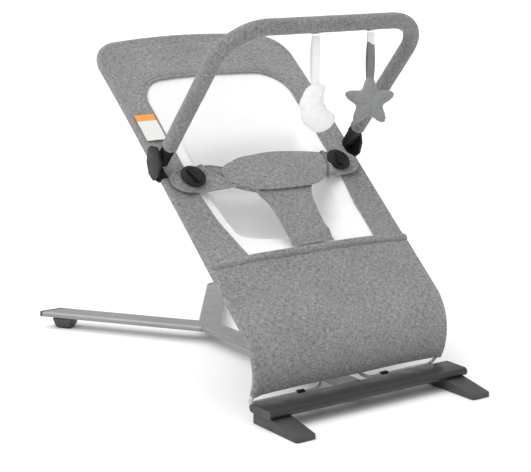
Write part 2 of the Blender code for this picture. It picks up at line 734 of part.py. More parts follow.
BUTTON_X = 0.152
BUTTON_ALONG = 0.295
BUTTON_RADIUS = 0.0225
BUTTON_STEM = 0.0070
BUTTON_BASE = 0.0098            # underside of the button's disc over the cover's plane
BUTTON_DISC = 0.0036


def belt_above(x):
    return 0.0065 + 0.0155 * (1 - min(abs(x) / 0.128, 1.0) ** 2)


def belt_edges(x):
    """Lower and upper edge of the belt along the seat at x."""
    middle = math.exp(-(x / 0.100) ** 4)
    return STRAP_ALONG - 0.024 - 0.022 * middle, STRAP_ALONG + 0.026 - 0.006 * middle


def build_belt(seat):
    rows = []
    count = 28
    reach = 0.196
    for i in range(count + 1):
        x = reach * (1 - 2 * i / count)
        low, high = belt_edges(x)
        row = [seat_point(x, low + (high - low) * j / 4, belt_above(x)) for j in range(5)]
        rows.append(row)
    belt = sheet_solid("waist_belt", rows, 0.0028, "grey_cloth", seat)
    for side in (-1, 1):
        middle = seat_point(side * BUTTON_X, BUTTON_ALONG, 0.0)
        boolean(belt, bore(f"button_hole_{side}", middle, OUTWARD, BUTTON_STEM + 0.0008, 0.05))


def build_belt_flap(seat):
    """The pad over the middle of the belt: a point at the left, cut at a slant at the right."""
    rows = []
    count = 20
    for i in range(count + 1):
        share = 1 - 2 * i / count
        x = FLAP_MIDDLE + FLAP_REACH * share
        half = 0.0395 * math.sqrt(max(0.0, 1 - abs(share) ** 2.6)) + 0.002
        middle = FLAP_ALONG + (0.028 if share > 0 else 0.012) * share ** 4
        above = belt_above(x) + FLAP_LIFT
        rows.append([seat_point(x, middle + half * (j / 2 - 1), above) for j in range(5)])
    sheet_solid("belt_flap", rows, FLAP_THICKNESS, "grey_cloth", seat)


def build_crotch_strap(seat):
    rows = []
    low, high = LEG_PANEL_TOP + 0.001, belt_edges(0)[0] - 0.0012
    count = 12
    for r in range(count + 1):
        share = r / count
        along = low + (high - low) * share
        half = 0.040 + 0.004 * (2 * share - 1) ** 2 + 0.014 * max(0.0, share - 0.6) / 0.4
        above = HEM_RISE + 0.0035 + (belt_above(0) - HEM_RISE - 0.0035) * share ** 0.7
        row = []
        for c in range(7):
            x = half * (c / 3 - 1)
            row.append(seat_point(x, along, above - (belt_above(0) - belt_above(x)) * share))
        rows.append(row)
    sheet_solid("crotch_strap", rows, 0.0028, "grey_cloth", seat)


def build_button(name, side, seat):
    """A round button on a stem through the belt, and the bar across its face."""
    centre = seat_point(side * BUTTON_X, BUTTON_ALONG, 0.0)
    middle = centre + OUTWARD * (BUTTON_BASE + BUTTON_DISC / 2)
    disc = pin(f"belt_button_{name}", middle, OUTWARD, BUTTON_RADIUS, BUTTON_DISC, "hub_plastic", seat)
    round_edges(disc, 0.0012)
    foot = CLOTH + 3 * GAP
    reach = BUTTON_BASE + 0.001 - foot
    stem = bore(f"button_stem_{name}", centre + OUTWARD * (foot + reach / 2), OUTWARD, BUTTON_STEM, reach)
    boolean(disc, stem, "UNION")
    outline = rounded_outline(rectangle(0.0048, 0.0150), 0.0015)
    top = BUTTON_BASE + BUTTON_DISC + GAP
    turn = Matrix.Rotation(SEAT_ANGLE, 4, "X") @ Matrix.Rotation(-side * 0.3, 4, "Z")
    bar = slab(f"button_bar_{name}", [outline], 0.0, 0.004, Matrix.Translation(centre + OUTWARD * top) @ turn)
    dress(bar, "black_plastic", seat)


def build_label(seat):
    outline = rounded_outline(rectangle(0.0190, 0.029), 0.001)
    place = Matrix.Translation(seat_point(-0.176, 0.416, 0.0026)) @ Matrix.Rotation(SEAT_ANGLE, 4, "X")
    dress(slab("sewn_label", [outline], 0.0, 0.0006, place), "label", seat)


# ---------------------------------------------------------------- the toy bar
BAR_PIVOT = seat_point(0, PIVOT_ALONG, PIVOT_ABOVE)


def bar_point(x, out, back=0.0):
    """A point on the toy bar's plane: out from its pivot, at right angles to the seat."""
    return BAR_PIVOT + ACROSS * x + OUTWARD * out + ALONG * back


def build_bar_mount(name, side, seat):
    """Fixed saddle round the wires' joint, with an ear that carries the bar's pivot."""
    along_seat = Matrix.Rotation(SEAT_ANGLE, 4, "X")
    centre = seat_point(side * RAIL_HALF_WIDTH, PIVOT_ALONG - 0.010, -RAIL_OFFSET)
    place = Matrix.Translation(centre) @ along_seat @ ALONG_X
    outline = rounded_outline([(-0.016, -0.007), (0.016, -0.007), (0.016, 0.0058), (-0.016, 0.0058)], 0.003)
    low, high = sorted((side * -0.007, side * 0.0064))
    saddle = slab(f"bar_mount_{name}", [outline], low, high, place)
    ear_place = Matrix.Translation(centre) @ along_seat @ ALONG_X
    up = PIVOT_ABOVE + RAIL_OFFSET
    ear_outline = [(-0.012, -0.006), (0.015, -0.006)] + [
        (0.010 + x, up + y) for x, y in arc((0, 0), 0.010, 0, 180, 10)]
    ear_low, ear_high = sorted((side * 0.0056, side * 0.0092))
    boolean(saddle, slab(f"ear_{name}", [ear_outline], ear_low, ear_high, ear_place, CUTTERS), "UNION")
    boolean(saddle, bore(f"rail_bore_{name}", centre, ALONG, WIRE_RADIUS + GAP, 0.06))
    boolean(saddle, bore(f"ear_bore_{name}", bar_point(side * 0.2, 0), ACROSS, BAR_PIN_RADIUS + 0.0004, 0.04))
    dress(saddle, "black_plastic", seat)


def build_bar_end(name, side, bar):
    """Socket, side cover and pivot pin at one end of the toy bar."""
    turn = Matrix.Rotation(SEAT_ANGLE, 4, "X")
    place = Matrix.Translation(bar_point(0, 0)) @ turn @ ALONG_X
    low, high = sorted((side * 0.1882, side * 0.2042))
    outline = arc((0, 0), 0.0075, 180, 360, 10)
    outline += [(0.0082, SLEEVE_START - 0.0015), (-0.0082, SLEEVE_START - 0.0015)]
    socket = slab(f"bar_socket_{name}", [outline], low, high, place)
    pin_bore = bore(f"socket_bore_{name}", bar_point(side * 0.2, 0), ACROSS, BAR_PIN_RADIUS + 0.0004, 0.02)
    boolean(socket, pin_bore)
    tube_middle = bar_point(side * BAR_HALF_WIDTH, 0.040)
    boolean(socket, bore(f"tube_bore_{name}", tube_middle, OUTWARD, BAR_TUBE_RADIUS + GAP, 0.048))
    dress(socket, "black_plastic", bar)
    pin_middle = bar_point(side * 0.20025, 0)
    pin(f"bar_pin_{name}", pin_middle, ACROSS, BAR_PIN_RADIUS, 0.0159, "wire_steel", bar)
    upright = Matrix.Translation(BAR_PIVOT) @ ALONG_X
    low, high = sorted((side * 0.2085, side * 0.2130))
    shield = [(0.0, -0.030), (0.0145, -0.020), (0.0210, 0.0), (0.0170, 0.020), (0.0090, 0.0285),
              (-0.0090, 0.0285), (-0.0170, 0.020), (-0.0210, 0.0), (-0.0145, -0.020)]
    cover = slab(f"bar_cover_{name}", [rounded_outline(shield, 0.004, 2)], low, high, upright)
    round_edges(cover, 0.0018)
    dress(cover, "hub_plastic", bar)


def bar_path(radius_out, corner, start):
    """Across and out, up one leg, round the corners and down the other."""
    inner = BAR_HALF_WIDTH - corner
    half = [(-BAR_HALF_WIDTH, start + (radius_out - corner - start) * i / 4) for i in range(4)]
    half += arc((-inner, radius_out - corner), corner, 180, 90, 9)
    middle = [(-inner * (1 - i / 3), radius_out) for i in range(1, 4)]
    half += middle
    return half + [(-x, out) for x, out in reversed(half[:-1])]


def build_toy_bar(bar):
    corner = 0.072
    core = [bar_point(x, out) for x, out in bar_path(BAR_REACH, corner, 0.018)]
    wire("toy_bar_tube", core, BAR_TUBE_RADIUS, "black_plastic", bar)
    cut = [bar_point(x, out) for x, out in bar_path(BAR_REACH, corner, SLEEVE_START)]
    sleeve = wire("toy_bar_sleeve", cut, BAR_SLEEVE_RADIUS, "grey_cloth", bar, 4)
    longer = [bar_point(x, out) for x, out in bar_path(BAR_REACH, corner, SLEEVE_START - 0.01)]
    hollow = wire("sleeve_bore", longer, BAR_TUBE_RADIUS + GAP * 2, "grey_cloth", None)
    PARTS.objects.unlink(hollow)
    CUTTERS.objects.link(hollow)
    boolean(sleeve, hollow)


def star_outline(radius, inner, points=5):
    loop = []
    for i in range(2 * points):
        angle = math.radians(90 + 180 * i / points)
        reach = inner if i % 2 else radius
        loop.append((reach * math.cos(angle), reach * math.sin(angle)))
    return loop


def crescent_outline(radius, bite, shift, lean):
    """A moon: a disc less a smaller, shifted disc, leaning back by the angle lean."""
    meet = (radius ** 2 - bite ** 2 + shift ** 2) / (2 * shift)
    height = math.sqrt(radius ** 2 - meet ** 2)
    outer = math.degrees(math.atan2(height, meet))
    inner = math.degrees(math.atan2(height, meet - shift))
    loop = arc((0, 0), radius, outer, 360 - outer, 18)
    loop += arc((shift, 0), bite, 360 - inner, inner, 12)[1:-1]
    spin = Matrix.Rotation(lean, 2)
    return [tuple(spin @ Vector(point)) for point in loop]


TOY_TURN = math.radians(-35)


def build_toy(name, x, ribbon_width, ribbon_length, outline, thickness, colour, toy_drop, bar, swing):
    """A tab sewn under the sleeve, and a ribbon with its plush toy that swings from it."""
    apex = bar_point(x, BAR_REACH)
    inside = BAR_SLEEVE_RADIUS + 0.0006
    tab = 0.0012
    outline_of_tab = arc((0, 0), inside + tab, -108, -72, 6) + arc((0, 0), inside, -72, -108, 6)
    place = Matrix.Translation(apex) @ ALONG_X
    half = ribbon_width / 2
    dress(slab(f"{name}_loop", [outline_of_tab], -half, half, place), colour, bar)
    top = apex.z - inside - tab - 0.0010
    low = top - ribbon_length
    block(f"{name}_ribbon", (x - half, apex.y - 0.0008, low), (x + half, apex.y + 0.0008, top), colour, swing)
    turn = Matrix.Rotation(TOY_TURN, 4, "Z") @ Matrix.Rotation(math.radians(90), 4, "X")
    centre = Vector((x, apex.y, low - GAP - toy_drop))
    toy = slab(f"{name}_toy", [outline], -thickness / 2, thickness / 2, Matrix.Translation(centre) @ turn)
    round_edges(toy, thickness * 0.28, 3, 25)
    dress(toy, "toy_white" if colour == "toy_white" else "toy_grey", swing)


# ---------------------------------------------------------------- assembly
def build():
    build_crossbar()
    for name, side in (("left", -1), ("right", 1)):
        build_front_foot(name, side)
        build_arm(name, side)
        build_wire_clip(name, side)
    build_stem()
    carrier = empty("fold_axis", PIVOT)
    seat = empty("bounce_axis", PIVOT, carrier)
    build_spring_rods(carrier)
    build_seat_wires(seat)
    build_support_frame(seat)
    build_cover(seat)
    build_mesh_panel(seat)
    build_leg_panel(seat)
    build_belt(seat)
    build_belt_flap(seat)
    build_crotch_strap(seat)
    build_label(seat)
    bar = empty("toy_bar_axis", BAR_PIVOT, seat)
    for name, side in (("left", -1), ("right", 1)):
        build_button(name, side, seat)
        build_bar_mount(name, side, seat)
        build_bar_end(name, side, bar)
    build_toy_bar(bar)
    under = BAR_SLEEVE_RADIUS + 0.0028
    for name, x in (("moon", -0.031), ("star", 0.080)):
        swing = empty(f"{name}_axis", bar_point(x, BAR_REACH) - Vector((0, 0, under)), bar)
        if name == "moon":
            moon = crescent_outline(0.0375, 0.027, 0.0235, math.radians(32))
            build_toy(name, x, 0.012, 0.078, moon, 0.026, "toy_white", 0.0375, bar, swing)
        else:
            star = star_outline(0.042, 0.0215)
            build_toy(name, x, 0.014, 0.074, star, 0.024, "toy_grey", 0.0425, bar, swing)


build()
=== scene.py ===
# %% [markdown]
# # An infant bouncer seat
# A bouncer seat is a springy wire frame with a cloth seat on it, standing on a flat Y-shaped base.
# The hard parts come from the CAD model as a fixed frame. This lesson gives them a maker's finish and
# sews the soft parts over them: cover, mesh, leg panel, harness, toy bar sleeve and two plush toys.

# %% Load the frame
import json
import math

import bpy
import numpy as np
from mathutils import Matrix, Vector, noise

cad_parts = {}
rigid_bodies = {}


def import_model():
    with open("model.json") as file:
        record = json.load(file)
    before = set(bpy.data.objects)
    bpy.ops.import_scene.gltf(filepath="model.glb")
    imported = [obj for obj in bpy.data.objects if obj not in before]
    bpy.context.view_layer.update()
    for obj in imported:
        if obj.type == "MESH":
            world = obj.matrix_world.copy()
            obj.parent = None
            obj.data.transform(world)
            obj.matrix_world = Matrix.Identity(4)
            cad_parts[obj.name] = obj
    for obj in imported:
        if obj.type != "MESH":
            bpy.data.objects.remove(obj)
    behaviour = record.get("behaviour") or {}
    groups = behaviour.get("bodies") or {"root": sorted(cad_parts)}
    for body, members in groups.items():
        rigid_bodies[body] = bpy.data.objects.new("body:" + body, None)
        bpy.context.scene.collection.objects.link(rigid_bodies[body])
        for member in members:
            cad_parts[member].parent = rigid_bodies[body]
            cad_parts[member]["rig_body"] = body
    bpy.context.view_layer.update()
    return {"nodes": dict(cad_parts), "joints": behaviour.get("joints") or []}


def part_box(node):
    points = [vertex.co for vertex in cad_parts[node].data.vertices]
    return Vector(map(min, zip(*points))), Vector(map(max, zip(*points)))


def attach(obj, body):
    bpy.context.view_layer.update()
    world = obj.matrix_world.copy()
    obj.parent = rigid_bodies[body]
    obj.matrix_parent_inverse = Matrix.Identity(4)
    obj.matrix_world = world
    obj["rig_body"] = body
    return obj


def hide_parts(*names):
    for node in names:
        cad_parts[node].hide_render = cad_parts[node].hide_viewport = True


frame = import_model()
scene = bpy.context.scene
JOINTS = {joint["name"]: joint for joint in frame["joints"]}

# %% [markdown]
# ## Where things are on the seat
# A sewer measures a seat along its cloth, so every soft piece here is laid out in three numbers:
# across, along the cloth from where the knee's bend starts, and above the cloth's outside. One
# function turns them into a place in the room, and the joints of the frame give its fixed points.

# %% The seat's own ruler
SEAT_ANGLE = math.radians(41.2)
KNEE_RADIUS = 0.090
BAR_PIVOT_ALONG = 0.332
BAR_PIVOT_ABOVE = 0.0105
SEAT_TOP = 0.6375
BACK_BOW, BACK_BOW_START = 0.009, 0.380
HEM_TURN, AXIS_TURN = math.radians(74.1), math.radians(94)
RAIL_HALF_WIDTH, AXIS_HALF_WIDTH = 0.199, 0.1885
COVER_HALF_WIDTH = 0.2047
LEG_TOP = 0.122

ACROSS = Vector((1, 0, 0))
ALONG = Vector((0, math.cos(SEAT_ANGLE), math.sin(SEAT_ANGLE)))
OUTWARD = Vector((0, -math.sin(SEAT_ANGLE), math.cos(SEAT_ANGLE)))
BAR_PIVOT = Vector(JOINTS["toy_bar_tilt"]["pos_m"])
KNEE = BAR_PIVOT - OUTWARD * (KNEE_RADIUS + BAR_PIVOT_ABOVE) - ALONG * BAR_PIVOT_ALONG
HEM = -KNEE_RADIUS * HEM_TURN
AXIS = -KNEE_RADIUS * AXIS_TURN


def seat_points(across, along, above):
    """Places in the room for numbers, or arrays of them, on the seat's ruler."""
    across, along, above = np.broadcast_arrays(np.asarray(across, float), along, above)
    lean = BACK_BOW * (np.clip(along - BACK_BOW_START, 0, None) / (SEAT_TOP - BACK_BOW_START)) ** 2
    angle = SEAT_ANGLE + np.clip(-along, 0, None) / KNEE_RADIUS
    radius = KNEE_RADIUS + above - lean
    straight = np.clip(along, 0, None)
    return np.stack([across, KNEE.y - np.sin(angle) * radius + ALONG.y * straight,
                     KNEE.z + np.cos(angle) * radius + ALONG.z * straight], axis=-1)


def seat_point(across, along, above=0.0):
    return Vector(seat_points(across, along, above).tolist())


def hump(value, centre, width):
    return np.exp(-((value - centre) / width) ** 2)


def smooth_step(value, low, high):
    share = np.clip((np.asarray(value, float) - low) / (high - low), 0, 1)
    return share * share * (3 - 2 * share)


print("knee centre", tuple(round(c, 4) for c in KNEE))

# %% [markdown]
# ## The camera and the room
# A long lens from the front left shows the whole seat with little distortion. The floor is pale and
# matt, and two very wide, soft suns light it inside a white surround: one from above, one from the left.

# %% Camera
LENS = 103.08
EYE = (-1.48331, -2.15868, 0.79151)
EYE_TILT, EYE_TURN = 77.781, -35.014
camera_data = bpy.data.cameras.new("studio_camera")
camera_data.lens = LENS
camera_data.sensor_width = 36
camera = bpy.data.objects.new("studio_camera", camera_data)
scene.collection.objects.link(camera)
camera.location = EYE
camera.rotation_euler = (math.radians(EYE_TILT), 0, math.radians(EYE_TURN))
scene.camera = camera
scene.view_settings.view_transform = "Standard"


# %% Helpers for picking one object
def deselect_all():
    for item in bpy.context.selected_objects:
        item.select_set(False)


def pick(item):
    """Makes item the only selected and the active object."""
    deselect_all()
    item.select_set(True)
    bpy.context.view_layer.objects.active = item


def apply_modifiers(item):
    pick(item)
    for step in list(item.modifiers):
        bpy.ops.object.modifier_apply(modifier=step.name)
    return item


def smooth_edges(item, degrees=38):
    pick(item)
    bpy.ops.object.shade_smooth_by_angle(angle=math.radians(degrees))
    return item


def merge_doubles(item, distance=1e-5, recalculate=False):
    pick(item)
    bpy.ops.object.mode_set(mode="EDIT")
    bpy.ops.mesh.select_all(action="SELECT")
    bpy.ops.mesh.remove_doubles(threshold=distance)
    if recalculate:
        bpy.ops.mesh.normals_make_consistent(inside=False)
    bpy.ops.object.mode_set(mode="OBJECT")
    return item


# %% Floor and lights
def new_finish(name, colour, roughness, **more):
    """A material with its Principled shader; more sets further inputs, an underscore for each space."""
    finish = bpy.data.materials.new(name)
    finish.use_nodes = True
    shader = finish.node_tree.nodes["Principled BSDF"]
    shader.inputs["Base Color"].default_value = (*colour, 1)
    shader.inputs["Roughness"].default_value = roughness
    for key, value in more.items():
        shader.inputs[key.replace("_", " ")].default_value = value
    return finish, finish.node_tree, shader


def soft_sun(name, toward, spread, strength):
    """A sun whose light travels along toward; a wide spread makes it as soft as a huge lamp."""
    data = bpy.data.lights.new(name, "SUN")
    data.angle = math.radians(spread)
    data.energy = strength
    light = bpy.data.objects.new(name, data)
    scene.collection.objects.link(light)
    light.rotation_euler = Vector(toward).to_track_quat("-Z", "Y").to_euler()
    return light


deselect_all()
bpy.ops.mesh.primitive_plane_add(size=160)
floor = bpy.context.object
floor.name = "studio_floor"
floor.data.materials.append(new_finish("pale_floor", (0.95, 0.95, 0.95), 0.9, Specular_IOR_Level=0.0)[0])

world = bpy.data.worlds.new("studio")
scene.world = world
world.use_nodes = True
world.node_tree.nodes["Background"].inputs["Color"].default_value = (1, 1, 1, 1)
world.node_tree.nodes["Background"].inputs["Strength"].default_value = 0.60
soft_sun("top_light", (0.25, -0.25, -1.0), 70, 1.75)
soft_sun("key_light", (0.85, 0.40, -0.8), 40, 0.85)

# %% [markdown]
# ## Finishes
# Each finish is a small node tree. Cloth reads the piece's own UV map, which holds metres of cloth,
# so the weave has one real size on every piece. Moulded and painted parts read Object coordinates.


# %% Node helpers
def add_node(tree, kind, settings=None, **inputs):
    """A node with settings, and its sockets given a number or joined to another node's socket."""
    node = tree.nodes.new(kind)
    for key, value in (settings or {}).items():
        setattr(node, key, value)
    for key, value in inputs.items():
        by_number = key[0] == "i" and key[1:].isdigit()
        socket = node.inputs[int(key[1:]) if by_number else key.replace("_", " ")]
        if isinstance(value, bpy.types.NodeSocket):
            tree.links.new(value, socket)
        else:
            socket.default_value = value
    return node


def cloth_ruler(tree):
    """The piece's UV map, and its two distances along the cloth in metres."""
    where = add_node(tree, "ShaderNodeTexCoord").outputs["UV"]
    parts = add_node(tree, "ShaderNodeSeparateXYZ", Vector=where)
    return where, parts.outputs[0], parts.outputs[1]


def maths(tree, operation, first, second=0.0):
    return add_node(tree, "ShaderNodeMath", {"operation": operation}, i0=first, i1=second).outputs[0]


def noise_of(tree, where, scale, detail=2.0, stretch=(1, 1, 1), rough=0.5):
    turned = add_node(tree, "ShaderNodeMapping", Vector=where, Scale=stretch)
    return add_node(tree, "ShaderNodeTexNoise", Vector=turned.outputs[0], Scale=scale, Detail=detail,
                    Roughness=rough).outputs[0]


def ramp(tree, value, stops):
    made = add_node(tree, "ShaderNodeValToRGB", Fac=value)
    elements = made.color_ramp.elements
    while len(elements) < len(stops):
        elements.new(0.5)
    for element, (place, colour) in zip(elements, stops):
        element.position = place
        element.color = (*colour, 1)
    return made.outputs[0]


def grey(value, tint=(1, 1, 1)):
    return tuple(value * part for part in tint)


def bump(tree, shader, height, strength, distance):
    made = add_node(tree, "ShaderNodeBump", Strength=strength, Distance=distance, Height=height)
    tree.links.new(made.outputs[0], shader.inputs["Normal"])


# %% [markdown]
# ### Melange cloth
# The grey cloth is woven from light and dark fibres, so it looks speckled and slightly streaked
# along both threads. Two stretched noises make the streaks of warp and weft, a weave pattern picks
# between them, and the same pattern raises the threads.


# %% Melange cloth
def melange(name, dark, light, thread=0.0011):
    middle = (dark + light) / 2
    finish, tree, shader = new_finish(name, grey(middle), 0.92, Sheen_Weight=0.18, Sheen_Roughness=0.6,
                                      Specular_IOR_Level=0.18)
    where, along_x, along_y = cloth_ruler(tree)
    turns = 2 * math.pi / thread
    warp_wave = maths(tree, "SINE", maths(tree, "MULTIPLY", along_x, turns))
    weft_wave = maths(tree, "SINE", maths(tree, "MULTIPLY", along_y, turns))
    weave = maths(tree, "MULTIPLY", warp_wave, weft_wave)
    warp = noise_of(tree, where, 460, 3, (1, 0.25, 1), 0.7)
    weft = noise_of(tree, where, 460, 3, (0.25, 1, 1), 0.7)
    pick_thread = add_node(tree, "ShaderNodeMapRange", Value=weave, i1=-0.4, i2=0.4)
    threads = add_node(tree, "ShaderNodeMix", {"data_type": "FLOAT"}, i0=pick_thread.outputs[0],
                       i2=warp, i3=weft)
    cloudy = noise_of(tree, where, 170, 2)
    broad = noise_of(tree, where, 14, 2)
    value = maths(tree, "ADD", maths(tree, "MULTIPLY", threads.outputs[0], 0.78),
                  maths(tree, "MULTIPLY", cloudy, 0.14))
    value = maths(tree, "ADD", value, maths(tree, "MULTIPLY", broad, 0.08))
    colour = ramp(tree, value, [(0.33, grey(dark)), (0.5, grey(middle)), (0.67, grey(light))])
    tree.links.new(colour, shader.inputs["Base Color"])
    height = maths(tree, "ADD", maths(tree, "MULTIPLY", weave, 0.5), threads.outputs[0])
    bump(tree, shader, height, 0.45, 0.0004)
    return finish


MELANGE = melange("grey_melange_cloth", 0.045, 0.44)
# Painted shade: the sleeve wears the seat's melange made darker (0.035 to 0.38), standing in for the shade on
# its underside.
SHADED_SLEEVE_CLOTH = melange("shaded_sleeve_melange_cloth", 0.035, 0.38, 0.0013)

# %% [markdown]
# ### White air mesh
# The window of the seat is a knitted air mesh: white threads round rows of small holes, whose darker
# grey is painted shade seen in them. Sines along both cloth directions, shifted by half a step on every
# other row, place the holes.


# %% Air mesh, plush, ribbon and label
def air_mesh():
    finish, tree, shader = new_finish("white_air_mesh", grey(0.93), 0.85, Sheen_Weight=0.2)
    where, along_x, along_y = cloth_ruler(tree)
    pitch = 2 * math.pi / 0.0028
    one = maths(tree, "ADD", along_x, along_y)
    two = maths(tree, "SUBTRACT", along_x, along_y)
    first = maths(tree, "SINE", maths(tree, "MULTIPLY", one, pitch))
    second = maths(tree, "SINE", maths(tree, "MULTIPLY", two, pitch))
    knit = maths(tree, "MULTIPLY", first, second)
    # Painted shade: where the knit peaks, at the holes, the white darkens to grey 0.78 for the shade seen in
    # them.
    colour = ramp(tree, knit, [(0.0, grey(0.96)), (0.5, grey(0.95)), (0.9, grey(0.78))])
    tree.links.new(colour, shader.inputs["Base Color"])
    bump(tree, shader, maths(tree, "MULTIPLY", knit, -1.0), 0.35, 0.0006)
    return finish


def plush(name, dark, light, tint=(1, 1, 1)):
    finish, tree, shader = new_finish(name, grey(light, tint), 0.95, Sheen_Weight=0.45, Sheen_Roughness=0.5,
                                      Specular_IOR_Level=0.1)
    where = add_node(tree, "ShaderNodeTexCoord").outputs["Object"]
    pile = noise_of(tree, where, 900, 4, (1, 1, 1), 0.7)
    tufts = noise_of(tree, where, 160, 3)
    value = maths(tree, "ADD", maths(tree, "MULTIPLY", pile, 0.5), maths(tree, "MULTIPLY", tufts, 0.5))
    tree.links.new(ramp(tree, value, [(0.3, grey(dark, tint)), (0.7, grey(light, tint))]),
                   shader.inputs["Base Color"])
    bump(tree, shader, value, 0.6, 0.0007)
    return finish


def label_cloth():
    """A plain woven label with an orange head and fine ribs."""
    finish, tree, shader = new_finish("woven_label", (0.8, 0.8, 0.78), 0.8)
    where, along_x, along_y = cloth_ruler(tree)
    head = maths(tree, "GREATER_THAN", along_y, 0.0435)
    ribs = maths(tree, "SINE", maths(tree, "MULTIPLY", along_y, 2 * math.pi / 0.0009))
    white = ramp(tree, noise_of(tree, where, 700, 2, (1, 0.4, 1)),
                 [(0.3, (0.72, 0.72, 0.70)), (0.7, (0.86, 0.86, 0.84))])
    orange = ramp(tree, noise_of(tree, where, 500, 2),
                  [(0.3, (0.80, 0.30, 0.05)), (0.7, (0.92, 0.42, 0.10))])
    mix = add_node(tree, "ShaderNodeMix", {"data_type": "RGBA"})
    tree.links.new(head, mix.inputs[0])
    tree.links.new(white, mix.inputs[6])
    tree.links.new(orange, mix.inputs[7])
    tree.links.new(mix.outputs[2], shader.inputs["Base Color"])
    bump(tree, shader, ribs, 0.25, 0.0002)
    return finish


MESH_CLOTH = air_mesh()
WHITE_PLUSH = plush("white_plush", 0.74, 0.88)
GREY_PLUSH = plush("grey_plush", 0.20, 0.30, (0.96, 1.0, 0.99))
WHITE_RIBBON = plush("white_ribbon", 0.78, 0.88)
GREY_RIBBON = plush("grey_ribbon", 0.15, 0.25, (0.97, 1.0, 1.0))
LABEL = label_cloth()

# %% [markdown]
# ### Paint, plastic, rubber and wire
# Powder paint has a fine orange peel and a roughness that varies a little from place to place. Moulded
# plastic has a spark-eroded grain. The wire is drawn steel with a bright plating.


# %% Hard finishes
def hard_finish(name, dark, light, roughness, grain, strength, metallic=0.0, coat=0.0, shine=0.5):
    """dark and light are the paint's two greys, grain is the fineness of its texture."""
    finish, tree, shader = new_finish(name, grey((dark + light) / 2), roughness, Metallic=metallic,
                                      Specular_IOR_Level=shine, Coat_Weight=coat, Coat_Roughness=0.25)
    where = add_node(tree, "ShaderNodeTexCoord").outputs["Object"]
    broad = noise_of(tree, where, 9, 3)
    fine = noise_of(tree, where, grain, 3, (1, 1, 1), 0.6)
    value = maths(tree, "ADD", maths(tree, "MULTIPLY", broad, 0.6), maths(tree, "MULTIPLY", fine, 0.4))
    tree.links.new(ramp(tree, value, [(0.3, grey(dark)), (0.7, grey(light))]), shader.inputs["Base Color"])
    worn = ramp(tree, noise_of(tree, where, 38, 4), [(0.35, grey(max(roughness - 0.06, 0.04))),
                                                     (0.7, grey(roughness + 0.10))])
    tree.links.new(worn, shader.inputs["Roughness"])
    bump(tree, shader, fine, strength, 0.0003)
    return finish


BAR_PAINT = hard_finish("bar_paint", 0.26, 0.31, 0.34, 1400, 0.18, 0.35)
CROSSBAR_PAINT = hard_finish("crossbar_paint", 0.030, 0.040, 0.36, 1400, 0.10, 0.1, 0.1, 0.4)
FOOT_PLASTIC = hard_finish("foot_plastic_grain", 0.040, 0.058, 0.48, 1800, 0.30)
BLACK_PLASTIC = hard_finish("black_plastic_grain", 0.006, 0.012, 0.46, 1800, 0.30, shine=0.25)
HUB_PLASTIC = hard_finish("hub_plastic_grain", 0.012, 0.022, 0.42, 1800, 0.30, shine=0.3)
BUTTON_PLASTIC = hard_finish("button_plastic", 0.008, 0.014, 0.42, 1500, 0.12, shine=0.25)
RUBBER = hard_finish("pad_rubber", 0.018, 0.030, 0.80, 1200, 0.5)
WIRE_STEEL = hard_finish("plated_wire", 0.55, 0.66, 0.20, 900, 0.10, 1.0)


# %% [markdown]
# ## Hard parts from the frame
# The CAD solids are loose triangles, so a copy of each is merged and shaded smooth across its soft
# edges only. The copy takes the solid's place in the picture and its body in the motion.


# %% Refined copies of the hard parts
def refine(node, finish, degrees=38):
    source = frame["nodes"][node]
    body = source["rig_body"]
    mesh = source.data.copy()
    item = bpy.data.objects.new(f"{node}_finished", mesh)
    scene.collection.objects.link(item)
    mesh.materials.clear()
    mesh.materials.append(finish)
    if mesh.has_custom_normals:
        pick(item)
        bpy.ops.mesh.customdata_custom_splitnormals_clear()
    merge_doubles(item)
    smooth_edges(item, degrees)
    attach(item, body)
    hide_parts(node)
    return item


def both(*names):
    return [f"{name}_{side}" for name in names for side in ("left", "right")]


SCREWS = [f"foot_screw_{side}_{end}" for side in ("left", "right") for end in ("front", "rear")]
HARD_PARTS = {
    "crossbar_steel": (CROSSBAR_PAINT, ["front_crossbar"]),
    "bar_steel": (BAR_PAINT, ["base_stem", "rear_arm_left", "rear_arm_right"]),
    "foot_plastic": (FOOT_PLASTIC, both("crossbar_end_cap", "front_foot", "rear_arm_cap", "rear_foot")),
    "rubber": (RUBBER, both("front_foot_pad", "rear_foot_pad")),
    "black_plastic": (BLACK_PLASTIC, both("wire_clip") + ["support_clip"] + both("bar_mount", "bar_socket")
                      + ["toy_bar_tube"]),
    "hub_plastic": (HUB_PLASTIC, both("bar_cover")),
    "wire_steel": (WIRE_STEEL, both("spring_rod", "side_rail")
                   + ["backrest_bow", "back_brace", "support_frame"]
                   + both("bar_pin") + SCREWS),
}
for slot_name, (part_finish, nodes) in HARD_PARTS.items():
    for node_name in nodes:
        refine(node_name, part_finish)
for side in ("left", "right"):
    refine(f"belt_button_{side}", BUTTON_PLASTIC)
    refine(f"button_bar_{side}", BLACK_PLASTIC)
print("hard parts finished:", sum(len(nodes) for _, nodes in HARD_PARTS.values()) + 4)


# %% [markdown]
# ## Sewing a sheet
# Every cloth piece starts as a flat grid. Its columns and rows are packed closer where a hem or a
# bend needs them, each point is moved to its place on the seat, and its UV is its place on the flat
# cloth in metres. Solidify then gives the sheet its thickness.


# %% The cloth grid
CLOTH_THICKNESS, MESH_THICKNESS, LABEL_THICKNESS = 0.0016, 0.0010, 0.0006
HARNESS_THICKNESS, FLAP_THICKNESS, SLEEVE_THICKNESS = 0.0026, 0.0028, 0.0030


def points_of(mesh):
    places = np.empty(len(mesh.vertices) * 3)
    mesh.vertices.foreach_get("co", places)
    return places.reshape(-1, 3)


def way_along(line):
    """How far along a line each of its points is."""
    return np.concatenate([[0], np.cumsum(np.linalg.norm(np.diff(line, axis=0), axis=1))])


